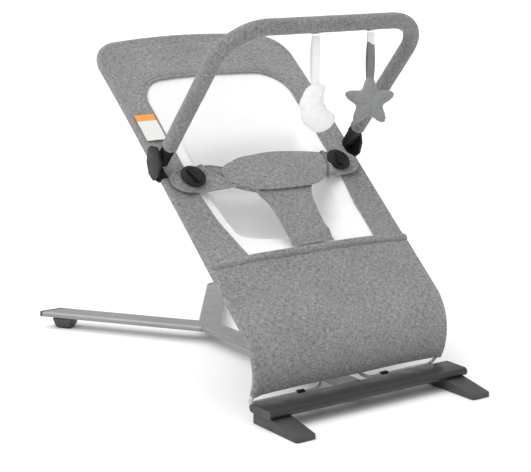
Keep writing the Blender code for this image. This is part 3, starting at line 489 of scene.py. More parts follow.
def cloth_grid(name, columns, rows, places, flat, finish):
    """A grid of columns by rows points. places and flat are arrays [row, column] of points and of UVs."""
    deselect_all()
    bpy.ops.mesh.primitive_grid_add(x_subdivisions=columns - 1, y_subdivisions=rows - 1, size=1)
    item = bpy.context.object
    item.name = name
    mesh = item.data
    start = points_of(mesh)
    column = np.rint((start[:, 0] + 0.5) * (columns - 1)).astype(int)
    row = np.rint((start[:, 1] + 0.5) * (rows - 1)).astype(int)
    mesh.vertices.foreach_set("co", places[row, column].ravel())
    corners = np.empty(len(mesh.loops), dtype=np.int32)
    mesh.loops.foreach_get("vertex_index", corners)
    mesh.uv_layers[0].data.foreach_set("uv", flat[row, column][corners].ravel())
    mesh.update()
    mesh.materials.clear()
    mesh.materials.append(finish)
    return item


def thicken(item, thickness, subdivide=0):
    step = item.modifiers.new("thickness", "SOLIDIFY")
    step.thickness = thickness
    step.offset = -1
    step.use_even_offset = False
    if subdivide:
        soft = item.modifiers.new("round", "SUBSURF")
        soft.levels = soft.render_levels = subdivide
    apply_modifiers(item)
    return item


def sew(item, body, slot, *nodes, degrees=50):
    """Finishes a cloth piece: smooth, riding on its body, in place of its CAD solids."""
    smooth_edges(item, degrees)
    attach(item, body)
    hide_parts(*nodes)
    print(item.name, len(item.data.polygons), "faces")
    return item


def packed(low, high, count, edge_low=0.0, edge_high=0.0, edge_count=6):
    """Numbers from low to high, with edge_count extra steps in the width of each edge."""
    inner = np.linspace(low + edge_low, high - edge_high, count)
    parts = []
    if edge_low:
        parts.append(np.linspace(low, low + edge_low, edge_count, endpoint=False))
    parts.append(inner)
    if edge_high:
        parts.append(np.linspace(high - edge_high, high, edge_count + 1)[1:])
    return np.concatenate(parts)


def wrinkle(points, scale, seed=0.0):
    """A repeatable soft noise for each point, from -1 to 1."""
    points = np.asarray(points, float)
    flat = points.reshape(-1, points.shape[-1])
    if flat.shape[1] == 2:
        flat = np.column_stack([flat, np.zeros(len(flat))])
    found = [noise.noise(Vector((x * scale + seed, y * scale, z * scale + seed))) for x, y, z in flat]
    return np.array(found).reshape(points.shape[:-1])


# %% [markdown]
# ### Stitches
# A seam shows as a row of short stitches pressed into the cloth. Each stitch is a small six-sided
# spindle, and a whole seam is one mesh, so it can be laid along any path.


# %% Stitches along a seam
THREAD_FINISH = plush("sewing_thread", 0.20, 0.30)
STITCH_LENGTH, STITCH_GAP, STITCH_RADIUS = 0.0030, 0.0012, 0.00042


def seam(name, path, outward, body, finish=THREAD_FINISH):
    """Stitches along path, an array of points, standing out along outward at each point."""
    path, outward = np.asarray(path, float), np.asarray(outward, float)
    steps = np.linalg.norm(np.diff(path, axis=0), axis=1)
    travelled = way_along(path)
    count = int(travelled[-1] / (STITCH_LENGTH + STITCH_GAP))
    deselect_all()
    bpy.ops.mesh.primitive_cylinder_add(vertices=6, radius=STITCH_RADIUS, depth=STITCH_LENGTH * 0.7)
    item = bpy.context.object
    item.name = name
    bpy.ops.object.mode_set(mode="EDIT")
    bpy.ops.mesh.select_all(action="DESELECT")
    bpy.ops.object.mode_set(mode="OBJECT")
    for face in item.data.polygons:
        face.select = abs(face.normal.z) > 0.9
    bpy.ops.object.mode_set(mode="EDIT")
    bpy.ops.mesh.inset(thickness=STITCH_RADIUS * 0.6, depth=STITCH_LENGTH * 0.15, use_individual=True)
    bpy.ops.object.mode_set(mode="OBJECT")
    base = points_of(item.data)
    faces = [list(face.vertices) for face in item.data.polygons]
    verts, polys = [], []
    for i in range(count):
        at = (i + 0.5) * (STITCH_LENGTH + STITCH_GAP)
        k = min(np.searchsorted(travelled, at, side="right") - 1, len(steps) - 1)
        share = (at - travelled[k]) / max(steps[k], 1e-9)
        centre = path[k] + (path[k + 1] - path[k]) * share
        forward = (path[k + 1] - path[k]) / max(steps[k], 1e-9)
        up = outward[k] + (outward[k + 1] - outward[k]) * share
        across = np.cross(up, forward)
        across /= np.linalg.norm(across)
        up = np.cross(forward, across)
        turn = np.stack([across, up, forward], axis=0)
        polys += [[v + len(verts) * len(base) for v in face] for face in faces]
        verts.append(base @ turn + centre)
    mesh = bpy.data.meshes.new(name)
    mesh.from_pydata(np.concatenate(verts).tolist(), [], polys)
    item.data = mesh
    mesh.materials.append(finish)
    smooth_edges(item, 60)
    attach(item, body)
    return item


# %% [markdown]
# ## The white mesh
# The mesh hangs between the side bands. Towards the leg panel it drops into a pocket for the sitter's
# bottom: a narrow shelf behind the hem, a steep front wall and a long slope up the back.

# %% Mesh window
WINDOW_TOP, WINDOW_HALF_WIDTH, WINDOW_CORNER, WINDOW_CROWN = 0.529, 0.151, 0.058, 0.003
HEM_RISE = 0.013
POCKET_START, POCKET_DEPTH = 0.160, 0.042


def window_half_width(along):
    return WINDOW_HALF_WIDTH - 0.021 * np.clip((0.300 - np.asarray(along, float)) / 0.178, 0, None) ** 1.3


def hem_rise(along):
    """How far the leg panel's upper hem stands over the rails' plane, fading out both ways."""
    along = np.asarray(along, float)
    above = np.clip(1 - (along - LEG_TOP) / 0.085, 0, 1)
    below = np.clip(1 - (LEG_TOP - along) / 0.150, 0, 1) ** 1.5
    return HEM_RISE * np.where(along > LEG_TOP, above, below)


def window_top(across):
    inner = WINDOW_HALF_WIDTH - WINDOW_CORNER
    across = np.abs(across)
    reach = np.clip((across - inner) / WINDOW_CORNER, 0, 1)
    crown = WINDOW_CROWN * np.clip(across / inner, 0, 1) ** 2
    return WINDOW_TOP - crown - WINDOW_CORNER * (1 - np.sqrt(1 - reach ** 2))


def softer(values, bend):
    """The smallest of several depths, with the corners between them rounded by bend."""
    return -bend * np.log(sum(np.exp(-value / bend) for value in values))


def mesh_drop(share, along):
    """How far the mesh hangs at share of its half width and at along."""
    across = np.abs(share) * window_half_width(along)
    shelf = 0.012 * smooth_step(along, 0.122, 0.175) * (1 - smooth_step(along, 0.20, 0.40))
    back = 0.016 * np.sin(math.pi * np.clip((along - 0.10) / 0.43, 0, 1))
    floor_depth = POCKET_DEPTH * (1 - smooth_step(along, 0.225, 0.42))
    front_wall = (along - POCKET_START - 0.016 * (across / 0.12) ** 2) * 1.05
    side_wall = (window_half_width(along) * 0.82 - across) * 0.95
    pocket = softer([floor_depth, front_wall, side_wall], 0.004)
    pocket = 0.0010 * np.log1p(np.exp(np.clip(pocket / 0.0010, -30, 30)))
    return (shelf + back) * (1 - share ** 2) + pocket


mesh_columns = np.linspace(-1, 1, 97)
mesh_rows = np.linspace(0, 1, 121)
share, up = np.meshgrid(mesh_columns, mesh_rows)
reach_top = window_top(WINDOW_HALF_WIDTH * share) + 0.004
along = LEG_TOP - 0.004 + (reach_top - LEG_TOP + 0.004) * up
across = (window_half_width(along) + 0.003) * share
above = -0.0024 + hem_rise(along) - mesh_drop(share, along)
above = above + 0.0006 * wrinkle(np.stack([across, along], -1), 30)
mesh_window = cloth_grid("mesh_window", 97, 121, seat_points(across, along, above),
                         np.stack([across, along], -1), MESH_CLOTH)
thicken(mesh_window, MESH_THICKNESS)
sew(mesh_window, "seat", "white_mesh", "mesh_panel")

# %% [markdown]
# ## The grey cover
# One band of cloth runs up the left side, over the headrest and down the right. Its outer edge is a
# sleeve that the wire slides into: the cloth turns over the wire, comes back underneath and is
# stitched down. Its inner edge is folded into a flat hem round the window.


# %% Outlines of the band
def arc_points(centre, radius, start, end, steps):
    turns = np.radians(np.linspace(start, end, steps + 1))
    return np.stack([centre[0] + radius * np.cos(turns), centre[1] + radius * np.sin(turns)], -1)


def u_path(half_width, bottom, top, corner, crown, side_steps=44, corner_steps=18, top_steps=36):
    """Across and along, up the left side, over a slightly crowned top and down the right side."""
    inner = half_width - corner
    shoulder = top - crown - corner
    left = np.stack([np.full(side_steps, -half_width),
                     bottom + (shoulder - bottom) * np.arange(side_steps) / side_steps], -1)
    bend = arc_points((-inner, shoulder), corner, 180, 90, corner_steps)
    x = -inner * (1 - 2 * np.arange(1, top_steps // 2 + 1) / top_steps)
    roof = np.stack([x, top - crown * (x / inner) ** 2], -1)
    half = np.concatenate([left, bend, roof])
    return np.concatenate([half, (half[:-1] * [-1, 1])[::-1]])


outer_edge = u_path(COVER_HALF_WIDTH, LEG_TOP - 0.006, SEAT_TOP, 0.062, 0.009)
inner_edge = u_path(WINDOW_HALF_WIDTH, LEG_TOP - 0.006, WINDOW_TOP, WINDOW_CORNER, WINDOW_CROWN)
narrow = window_half_width(inner_edge[:, 1]) - WINDOW_HALF_WIDTH
inner_edge[:, 0] += np.sign(inner_edge[:, 0]) * narrow * (np.abs(inner_edge[:, 0]) > 0.08)

# %% The band's section
# Each pair is a distance in from the outer edge and a height, in metres; the first few run underneath.
SLEEVE_SECTION = [(0.0270, -0.0086), (0.0255, -0.0100), (0.0200, -0.0102), (0.0120, -0.0106),
                  (0.0060, -0.0104), (0.0025, -0.0090), (0.0006, -0.0065), (0.0000, -0.0040),
                  (0.0007, -0.0012), (0.0024, 0.0008), (0.0050, 0.0019), (0.0085, 0.0020),
                  (0.0120, 0.0012), (0.0160, 0.0006), (0.0200, 0.0003), (0.0225, -0.0002),
                  (0.0240, -0.0005), (0.0255, 0.0003)]
HEM_SECTION = [(0.0095, 0.0008), (0.0080, 0.0003), (0.0068, 0.0006), (0.0050, 0.0011),
               (0.0030, 0.0012), (0.0014, 0.0009), (0.0004, 0.0000), (0.0000, -0.0012)]
MIDDLE_STEPS = 12

width = np.linalg.norm(inner_edge - outer_edge, axis=1)
inward = (inner_edge - outer_edge) / width[:, None]
section_in, section_up = [], []
for distance, height in SLEEVE_SECTION:
    section_in.append(np.full_like(width, distance))
    section_up.append(np.full_like(width, height))
for step in range(1, MIDDLE_STEPS):
    share_in = step / MIDDLE_STEPS
    start_in, end_in = SLEEVE_SECTION[-1][0], width - HEM_SECTION[0][0]
    section_in.append(start_in + (end_in - start_in) * share_in)
    section_up.append(0.0010 - 0.0022 * math.sin(math.pi * share_in) * np.ones_like(width))
for distance, height in HEM_SECTION:
    section_in.append(width - distance)
    section_up.append(np.full_like(width, height))
section_in, section_up = np.array(section_in).T, np.array(section_up).T
places_flat = outer_edge[:, None, :] + inward[:, None, :] * section_in[..., None]
share = np.clip(section_in / width[:, None], 0, 1)
inside_first = np.arange(section_in.shape[1]) > len(SLEEVE_SECTION) // 2
lift = hem_rise(places_flat[..., 1]) * share ** 0.7 * inside_first
crumple = 0.0010 * wrinkle(places_flat, 26, 3.0) * np.sin(math.pi * share) ** 0.5 * inside_first
cover_points = seat_points(places_flat[..., 0], places_flat[..., 1], section_up + lift + crumple)
cover_flat = places_flat.copy()
cover_flat[:, :len(SLEEVE_SECTION) // 2, 0] += np.sign(outer_edge[:, :1]) * 0.05
side_bands = cloth_grid("side_bands", section_in.shape[1], len(outer_edge), cover_points, cover_flat,
                        MELANGE)
pick(side_bands)
bpy.ops.object.mode_set(mode="EDIT")
bpy.ops.mesh.select_all(action="SELECT")
bpy.ops.mesh.normals_make_consistent(inside=False)
bpy.ops.object.mode_set(mode="OBJECT")
middle_face = min(side_bands.data.polygons, key=lambda face: (face.center - seat_point(0, 0.58, 0)).length)
if middle_face.normal.dot(OUTWARD) < 0:
    side_bands.data.flip_normals()
thicken(side_bands, CLOTH_THICKNESS)


# %% Cut the band where the toy bar's saddles clamp the wire
def cut_with(item, tool):
    """Takes tool's shape out of item and removes tool."""
    step = item.modifiers.new("cut", "BOOLEAN")
    step.object = tool
    step.operation = "DIFFERENCE"
    step.solver = "EXACT"
    pick(item)
    bpy.ops.object.modifier_apply(modifier=step.name)
    bpy.data.objects.remove(tool, do_unlink=True)


def cut_box(item, centre, size, turn):
    deselect_all()
    bpy.ops.mesh.primitive_cube_add(size=1)
    tool = bpy.context.object
    bpy.ops.object.mode_set(mode="EDIT")
    bpy.ops.mesh.bevel(offset=0.12, segments=3)
    bpy.ops.object.mode_set(mode="OBJECT")
    tool.data.transform(Matrix.Translation(centre) @ turn @ Matrix.Diagonal((*size, 1)))
    cut_with(item, tool)


for sign in (-1, 1):
    cut_box(side_bands, seat_point(sign * 0.2065, BAR_PIVOT_ALONG - 0.010, 0.0), (0.033, 0.035, 0.06),
            Matrix.Rotation(SEAT_ANGLE, 4, "X"))
sew(side_bands, "seat", "grey_cloth", "seat_cover")

# %% [markdown]
# ## The leg panel
# The lower part of the seat is one wide cloth that bends over the sitter's knees. It is stretched
# between the two wires, with a rope-like roll along its upper edge and a folded hem at the bottom.

# %% Leg panel
LEG_SIDE = SLEEVE_SECTION[:-3]
leg_rows = np.concatenate([packed(HEM, LEG_TOP - 0.016, 44, edge_low=0.003, edge_count=4),
                           np.linspace(LEG_TOP - 0.016, LEG_TOP + 0.0015, 18)[1:]])
roll_share = np.clip((leg_rows - (LEG_TOP - 0.0105)) / 0.0115, 0, 1)
roll = 0.0036 * np.sqrt(np.clip(1 - (2 * roll_share - 1) ** 2, 0, 1)) * (roll_share > 0)
groove = -0.0010 * np.exp(-((leg_rows - (LEG_TOP - 0.0125)) / 0.0018) ** 2)
hem_fold = 0.0006 * (leg_rows < HEM + 0.024) - 0.0009 * np.exp(-((leg_rows - HEM - 0.0245) / 0.0016) ** 2)


def leg_half_width(at):
    """The side wires draw in towards the hinge line, and the cloth goes with them."""
    drawn_in = (RAIL_HALF_WIDTH - AXIS_HALF_WIDTH) * max(at / AXIS, 0.0)
    return COVER_HALF_WIDTH - drawn_in + 0.0006


# %% Leg panel's points
leg_points, leg_flat = [], []
UNDER_COUNT = 7
for at, raised in zip(leg_rows, roll + groove + hem_fold):
    half = leg_half_width(at)
    left = [(-half + d, h) for d, h in LEG_SIDE]
    reach = half - LEG_SIDE[-1][0]
    middle = [(x, 0.0006) for x in np.linspace(-reach, reach, 50)[1:-1]]
    section = left + middle + [(half - d, h) for d, h in reversed(LEG_SIDE)]
    line, flat_line = [], []
    for k, (x, height) in enumerate(section):
        under = min(k, len(section) - 1 - k) < UNDER_COUNT
        if not under:
            share_out = abs(x) / half
            slack = noise.noise(Vector((x * 14, at * 22, 1.7)))
            height += raised + hem_rise(at) * (1 - share_out ** 4)
            height += 0.0011 * slack * max(0.0, 1 - share_out) ** 0.3
        line.append((x, at, height + 0.0008))
        flat_line.append((x + math.copysign(0.05, x) * under, at))
    leg_points.append(line)
    leg_flat.append(flat_line)
leg_points, leg_flat = np.array(leg_points), np.array(leg_flat)
crease = np.exp(-((leg_points[..., 1] - 0.085 + 0.18 * (leg_points[..., 0] + 0.08)) / 0.010) ** 2)
crease *= np.exp(-((leg_points[..., 0] + 0.075) / 0.045) ** 2)
leg_points[..., 2] -= 0.0016 * crease
near_hem = 1 - smooth_step(leg_points[..., 1], HEM, HEM + 0.03)
leg_points[..., 1] -= 0.0035 * (np.abs(leg_points[..., 0]) / 0.19) ** 6 * near_hem
leg_places = seat_points(leg_points[..., 0], leg_points[..., 1], leg_points[..., 2])
leg_panel = cloth_grid("leg_panel_cloth", leg_points.shape[1], leg_points.shape[0], leg_places, leg_flat,
                       MELANGE)
thicken(leg_panel, CLOTH_THICKNESS)
sew(leg_panel, "seat", "grey_cloth", "leg_panel")

# %% [markdown]
# ## The harness
# A T-shaped cloth holds the sitter: its strap comes up between the legs and opens into two wings,
# and each wing buttons on to a side band. The rows of one sheet follow its outline, from the foot of
# the strap to the top of the wings. Folds are raised along two lines, and the holes are cut last.

# %% Harness outline
BUTTON_ACROSS, BUTTON_ALONG, BUTTON_STEM = 0.152, 0.295, 0.0070


def belt_above(across):
    return 0.0065 + 0.0155 * (1 - np.clip(np.abs(across) / 0.128, 0, 1) ** 2)


def curve_through(points, count):
    """An even run of points along a smooth curve through the given ones."""
    points = np.asarray(points, float)
    ends = np.concatenate([[2 * points[0] - points[1]], points, [2 * points[-1] - points[-2]]])
    fine = []
    for a, b, c, d in zip(ends, ends[1:], ends[2:], ends[3:]):
        for t in np.linspace(0, 1, 24, endpoint=False):
            fine.append(0.5 * (2 * b + (c - a) * t + (2 * a - 5 * b + 4 * c - d) * t ** 2
                               + (3 * b - a - 3 * c + d) * t ** 3))
    fine = np.array(fine + [points[-1]])
    length = way_along(fine)
    at = np.linspace(0, length[-1], count)
    return np.stack([np.interp(at, length, fine[:, k]) for k in (0, 1)], -1)


side_line = curve_through([(0.0430, LEG_TOP + 0.002), (0.0420, 0.150), (0.0425, 0.185), (0.0480, 0.218),
                           (0.0620, 0.243), (0.0860, 0.2565), (0.1150, 0.2625), (0.1450, 0.2640),
                           (0.1680, 0.2660), (0.1840, 0.2720), (0.1930, 0.2820), (0.1955, 0.2920),
                           (0.1925, 0.3020), (0.1830, 0.3110), (0.1680, 0.3165), (0.1500, 0.3185)], 200)
columns = np.linspace(-1, 1, 161)
patch = np.stack([side_line[:, :1] * columns, np.repeat(side_line[:, 1:], len(columns), axis=1)], -1)
outline = np.concatenate([side_line, (side_line * [-1, 1])[::-1], side_line[:1]])


# %% Harness sheet
def distance_to(points, outline):
    flat = points.reshape(-1, 2)
    starts, ends = outline[:-1], outline[1:]
    line = ends - starts
    size = np.maximum((line ** 2).sum(1), 1e-12)
    share = np.clip(((flat[:, None] - starts) * line).sum(2) / size, 0, 1)
    near = starts + line * share[..., None]
    return np.linalg.norm(flat[:, None] - near, axis=2).min(1).reshape(points.shape[:-1])


edge = distance_to(patch, outline)
strap_share = smooth_step(patch[..., 1], LEG_TOP, 0.250)
strap_height = HEM_RISE + 0.0035 + (0.0220 - HEM_RISE - 0.0035) * strap_share ** 0.8
height = np.where(patch[..., 1] < 0.262, np.minimum(strap_height, 0.022), 0.022)
sag = 0.0155 * np.clip(np.abs(patch[..., 0]) / 0.128, 0, 1) ** 2
height = height - sag * smooth_step(patch[..., 1], 0.16, 0.25)
bead = 0.0013 * hump(edge, 0.0022, 0.0016) - 0.0006 * hump(edge, 0.0058, 0.0012)
soft = 0.0009 * wrinkle(patch, 34, 5.0)
soft = soft + 0.0032 * np.exp(-((patch[..., 1] - 0.141 - 0.10 * patch[..., 0]) / 0.008) ** 2)


def side_of(points, path):
    """The signed distance of points from path: plus on its left, minus on its right."""
    away = distance_to(points, path)
    flat = points.reshape(-1, 2)
    starts, line = path[:-1], np.diff(path, axis=0)
    nearest = ((flat[:, None] - (starts + line / 2)) ** 2).sum(2).argmin(1)
    beside = flat - starts[nearest]
    turn = line[nearest, 0] * beside[:, 1] - line[nearest, 1] * beside[:, 0]
    return away * np.where(turn.reshape(away.shape) > 0, 1, -1)


left_fold = curve_through([(-0.130, 0.328), (-0.121, 0.309), (-0.110, 0.295), (-0.101, 0.282),
                           (-0.089, 0.264), (-0.073, 0.250), (-0.055, 0.243)], 60)
right_fold = curve_through([(0.126, 0.325), (0.1285, 0.312), (0.131, 0.300), (0.129, 0.286),
                            (0.122, 0.270), (0.112, 0.255)], 60)
folds = 0.0
for path, sign in ((left_fold, -1), (right_fold, 1)):
    off = side_of(patch, path) * sign
    roll_up = np.where(off > 0, hump(off, 0.0020, 0.0050), np.exp(-(off / 0.0016) ** 2))
    folds = folds + 0.0052 * roll_up - 0.0030 * hump(off, -0.0040, 0.0022)
dip = 0.013 * np.exp(-((patch[..., 0] + 0.086) / 0.020) ** 2) * smooth_step(patch[..., 1], 0.288, 0.3185)
harness_along = patch[..., 1] - dip
harness_places = seat_points(patch[..., 0], harness_along, height + bead + soft + folds)
harness = cloth_grid("harness", patch.shape[1], patch.shape[0], harness_places, patch, MELANGE)
thicken(harness, HARNESS_THICKNESS)


# %% Button holes in the wings
def cut_round(item, centre, direction, radius, depth):
    deselect_all()
    bpy.ops.mesh.primitive_cylinder_add(vertices=48, radius=radius, depth=depth)
    tool = bpy.context.object
    turn = Vector(direction).to_track_quat("Z", "Y").to_matrix().to_4x4()
    tool.data.transform(Matrix.Translation(centre) @ turn)
    cut_with(item, tool)


for sign in (-1, 1):
    hole_at = seat_point(sign * BUTTON_ACROSS, BUTTON_ALONG, 0.006)
    cut_round(harness, hole_at, OUTWARD, BUTTON_STEM + 0.0008, 0.05)
sew(harness, "seat", "grey_cloth", "waist_belt", "crotch_strap")

# %% [markdown]
# ## The flap on the harness
# A padded flap lies over the middle of the harness, pointed at the left and slanted at the right.
# It is thick in the middle and thin at its sewn edge.

# %% Flap
FLAP_MIDDLE, FLAP_REACH, FLAP_ALONG = 0.0130, 0.1125, 0.2770


def eased(count):
    """Numbers from -1 to 1, packed closer at both ends."""
    return np.sin(np.linspace(-1, 1, count) * math.pi / 2)


# %% Flap's sheet
flap_u, flap_v = np.meshgrid(eased(71), eased(35))
flap_x = FLAP_MIDDLE + FLAP_REACH * flap_u
flap_half = 0.0398 * np.sqrt(np.clip(1 - np.abs(flap_u) ** 2.6, 0, 1)) + 0.0008
flap_middle = FLAP_ALONG + np.where(flap_u > 0, 0.028, 0.012) * flap_u ** 4
flap_along = flap_middle + flap_half * flap_v
flap_edge = np.clip(1 - flap_v ** 2, 0, 1) ** 0.5 * np.clip(1 - np.abs(flap_u) ** 6, 0, 1) ** 0.5
flap_height = belt_above(flap_x) + 0.0036 + 0.0024 * flap_edge ** 0.7 + 0.0006 * wrinkle(
    np.stack([flap_x, flap_along], -1), 40, 8.0)
belt_flap = cloth_grid("flap", 71, 35, seat_points(flap_x, flap_along, flap_height),
                       np.stack([flap_x, flap_along], -1), MELANGE)
thicken(belt_flap, FLAP_THICKNESS, 1)
sew(belt_flap, "seat", "grey_cloth", "belt_flap", degrees=70)

# %% [markdown]
# ## The toy bar's sleeve
# A foam tube in the same cloth covers the bar. It is swept along the bar's path, with its seam on
# the inside of the arch and small puckers where the cloth bends round the corners.

# %% Sleeve
BAR_HALF_WIDTH, BAR_REACH, BAR_CORNER = 0.196, 0.309, 0.072
SLEEVE_START, SLEEVE_RADIUS = 0.034, 0.0140


def bar_place(across, out):
    return np.array(BAR_PIVOT)[None] + np.outer(across, ACROSS) + np.outer(out, OUTWARD)


LEG_STEPS, ROOF_STEPS = 30, 23
bend_start = BAR_REACH - BAR_CORNER
leg = np.stack([np.full(LEG_STEPS, -BAR_HALF_WIDTH),
                np.linspace(SLEEVE_START, bend_start, LEG_STEPS, endpoint=False)], -1)
corner = arc_points((BAR_CORNER - BAR_HALF_WIDTH, bend_start), BAR_CORNER, 180, 90, 28)
roof = np.stack([np.linspace(BAR_CORNER - BAR_HALF_WIDTH, 0, ROOF_STEPS + 1)[1:],
                 np.full(ROOF_STEPS, BAR_REACH)], -1)
half_bar = np.concatenate([leg, corner, roof])
bar_line = np.concatenate([half_bar, (half_bar[:-1] * [-1, 1])[::-1]])
bar_run = way_along(bar_line)
tangent = np.gradient(bar_line, axis=0)
tangent /= np.linalg.norm(tangent, axis=1)[:, None]
centre = bar_place(bar_line[:, 0], bar_line[:, 1])
side_out = np.outer(-tangent[:, 1], ACROSS) + np.outer(tangent[:, 0], OUTWARD)
ROUND = 36
angles = np.linspace(0, 2 * math.pi, ROUND + 1)
end_in = np.minimum(bar_run, bar_run[-1] - bar_run)
cuff = 0.0009 * hump(end_in, 0.004, 0.003)
cuff = cuff - 0.0010 * hump(end_in, 0.011, 0.0018)
closing = -0.0050 * np.exp(-(end_in / 0.0013) ** 2)
puckers = 0.0004 * np.sin(bar_run * 900) * np.exp(-((np.abs(bar_line[:, 0]) - 0.175) / 0.03) ** 2)
radius = SLEEVE_RADIUS - 0.0006 + cuff + closing
turn_x, turn_y = np.cos(angles)[None], np.sin(angles)[None]
seam_dent = -0.0009 * np.exp(-((angles - math.pi) / 0.10) ** 2)[None]
inner_side = 0.5 - 0.5 * turn_x
tube_radius = radius[:, None] + seam_dent + puckers[:, None] * inner_side
sleeve_points = centre[:, None] + side_out[:, None] * (tube_radius * turn_x)[..., None] \
    + np.array(ALONG)[None, None] * (tube_radius * turn_y)[..., None]
sleeve_points += 0.0004 * wrinkle(sleeve_points, 55, 2.0)[..., None] * side_out[:, None]
sleeve_flat = np.stack(np.broadcast_arrays(angles[None] * SLEEVE_RADIUS, bar_run[:, None]), -1)
sleeve = cloth_grid("toy_bar_padding", ROUND + 1, len(bar_line), sleeve_points, sleeve_flat, SHADED_SLEEVE_CLOTH)
merge_doubles(sleeve, 1e-5, True)
thicken(sleeve, SLEEVE_THICKNESS)
sew(sleeve, "toy_bar", "grey_cloth", "toy_bar_sleeve")
print("sleeve:", round(bar_run[-1], 3), "m long")


# %% [markdown]
# ## Hanging toys
# A white moon and a grey star hang on ribbons. A plush toy is two cloth shapes sewn round their
# edge and stuffed, so each starts as a sphere that is pressed to the outline: full in the middle,
# pinched at the seam.


# %% A stuffed shape
def stuffed_toy(name, reach_at, thickness, centre, finish, body, slot, *nodes):
    """reach_at(angle) is the outline's distance from the centre. The toy faces the front left."""
    deselect_all()
    bpy.ops.mesh.primitive_uv_sphere_add(segments=120, ring_count=40, radius=1)
    item = bpy.context.object
    item.name = name
    mesh = item.data
    start = points_of(mesh)
    angle = np.arctan2(start[:, 1], start[:, 0])
    share = np.clip(np.hypot(start[:, 0], start[:, 1]), 0, 1)
    depth = thickness / 2 * np.sign(start[:, 2]) * np.clip(1 - share ** 2.3, 0, 1) ** 0.62
    pinch = 1 + 0.012 * np.sin(angle * 46) * smooth_step(share, 0.80, 0.99)
    reach = share * reach_at(angle) * pinch
    places = np.stack([reach * np.cos(angle), -depth, reach * np.sin(angle)], -1)
    turn = Matrix.Rotation(math.radians(-35), 3, "Z")
    places = places @ np.array(turn).T + np.array(centre)
    mesh.vertices.foreach_set("co", places.ravel())
    mesh.update()
    merge_doubles(item, 1e-5, True)
    mesh.materials.clear()
    mesh.materials.append(finish)
    sew(item, body, slot, *nodes, degrees=80)
    return item


def closed_reach(angles, reaches):
    """A smooth closed outline from a few reaches at angles in degrees."""
    order = np.argsort(angles)
    angles, reaches = np.radians(np.array(angles, float)[order]), np.array(reaches, float)[order]
    angles = np.concatenate([angles[-2:] - 2 * math.pi, angles, angles[:2] + 2 * math.pi])
    reaches = np.concatenate([reaches[-2:], reaches, reaches[:2]])

    def reach(angle):
        found = np.interp(angle, angles, reaches)
        for shift in (-0.06, -0.03, 0.03, 0.06):
            found = found + np.interp(angle + shift, angles, reaches)
        return found / 5

    return reach


moon_reach = closed_reach([88, 66, 54, 32, -4, -13, -24, -48, -80, -115, -169, 131, 110],
                          [0.0418, 0.0442, 0.0259, 0.0181, 0.0223, 0.0343, 0.0380, 0.0394, 0.0382, 0.0293,
                           0.0213, 0.0276, 0.0355])


def star_reach(angle):
    """Five rounded points, one of them straight up."""
    fifth = 2 * math.pi / 5
    off = np.abs((angle - math.pi / 2 + fifth / 2) % fifth - fifth / 2) / (fifth / 2)
    return 0.0235 + 0.0185 * (0.5 + 0.5 * np.cos(math.pi * off ** 0.9)) ** 1.15


def middle_of(node):
    low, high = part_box(node)
    return (low + high) / 2


stuffed_toy("moon_plush", moon_reach, 0.030, middle_of("moon_toy") + Vector((-0.002, 0, -0.002)),
            WHITE_PLUSH, "moon", "toy_white", "moon_toy")
stuffed_toy("star_plush", star_reach, 0.026, middle_of("star_toy"), GREY_PLUSH, "star", "toy_grey", "star_toy")


# %% [markdown]
# ### Ribbons and tabs
# Each toy hangs from a ribbon folded in two and sewn to a tab under the sleeve. The star's grey
# ribbon hangs under a short white tab.


# %% Ribbons
def ribbon(name, path, half_width, finish, body, thickness=0.0011, nodes=()):
    """A band along path, an array of (across, y, z, turn in degrees about Z)."""
    path = np.asarray(path, float)
    turn = np.radians(path[:, 3])
    sides = np.stack([np.cos(turn), np.sin(turn), np.zeros_like(turn)], -1)
    shares = np.linspace(-1, 1, 7)
    points = path[:, None, :3] + sides[:, None] * (shares * half_width)[None, :, None]
    length = way_along(path[:, :3])
    flat = np.stack(np.broadcast_arrays((shares * half_width)[None], length[:, None]), -1)
    item = cloth_grid(name, len(shares), len(path), points, flat, finish)
    thicken(item, thickness)
    smooth_edges(item, 50)
    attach(item, body)
    if nodes:
        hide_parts(*nodes)
    return item


UNDER_SLEEVE = 0.0004          # how far a tab stands off the sleeve, and its ribbon under the swing's line


def bar_tab(name, node, half_width, finish):
    """The short tab of ribbon that is sewn under the sleeve."""
    low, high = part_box(node)
    apex = bar_place([(low.x + high.x) / 2], [BAR_REACH])[0]
    down, back = np.array((0, 0, -1)), np.array((0, 1, 0))
    reach = SLEEVE_RADIUS + UNDER_SLEEVE
    turns = np.radians(np.linspace(-22, 22, 9))
    path = [(*(apex + reach * (down * math.cos(a) + back * math.sin(a))), 0) for a in turns]
    return ribbon(name, path, half_width, finish, "toy_bar", 0.0009, (node,))


moon_tab = bar_tab("moon_bar_tab", "moon_loop", 0.0062, WHITE_RIBBON)
star_tab = bar_tab("star_bar_tab", "star_loop", 0.0056, WHITE_RIBBON)


def hanging_ribbon(name, toy, top, bottom, half_width, gap, finish, sway=0.0):
    """Two layers that part a little in the middle."""
    low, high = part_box(f"{toy}_ribbon")
    across, y = (low.x + high.x) / 2, (low.y + high.y) / 2
    share = np.linspace(0, 1, 17)
    made = []
    for k, sign in enumerate((-1, 1)):
        part = sign * (0.0007 + gap * np.sin(math.pi * share))
        path = [(across + sway * math.sin(math.pi * s), y + p, top + (bottom - top) * s, -20 - 15 * s)
                for s, p in zip(share, part)]
        layer = "back" if k else "front"
        replaced = () if k else (f"{toy}_ribbon",)
        made.append(ribbon(f"{name}_{layer}", path, half_width, finish, toy, 0.0010, replaced))
    return made


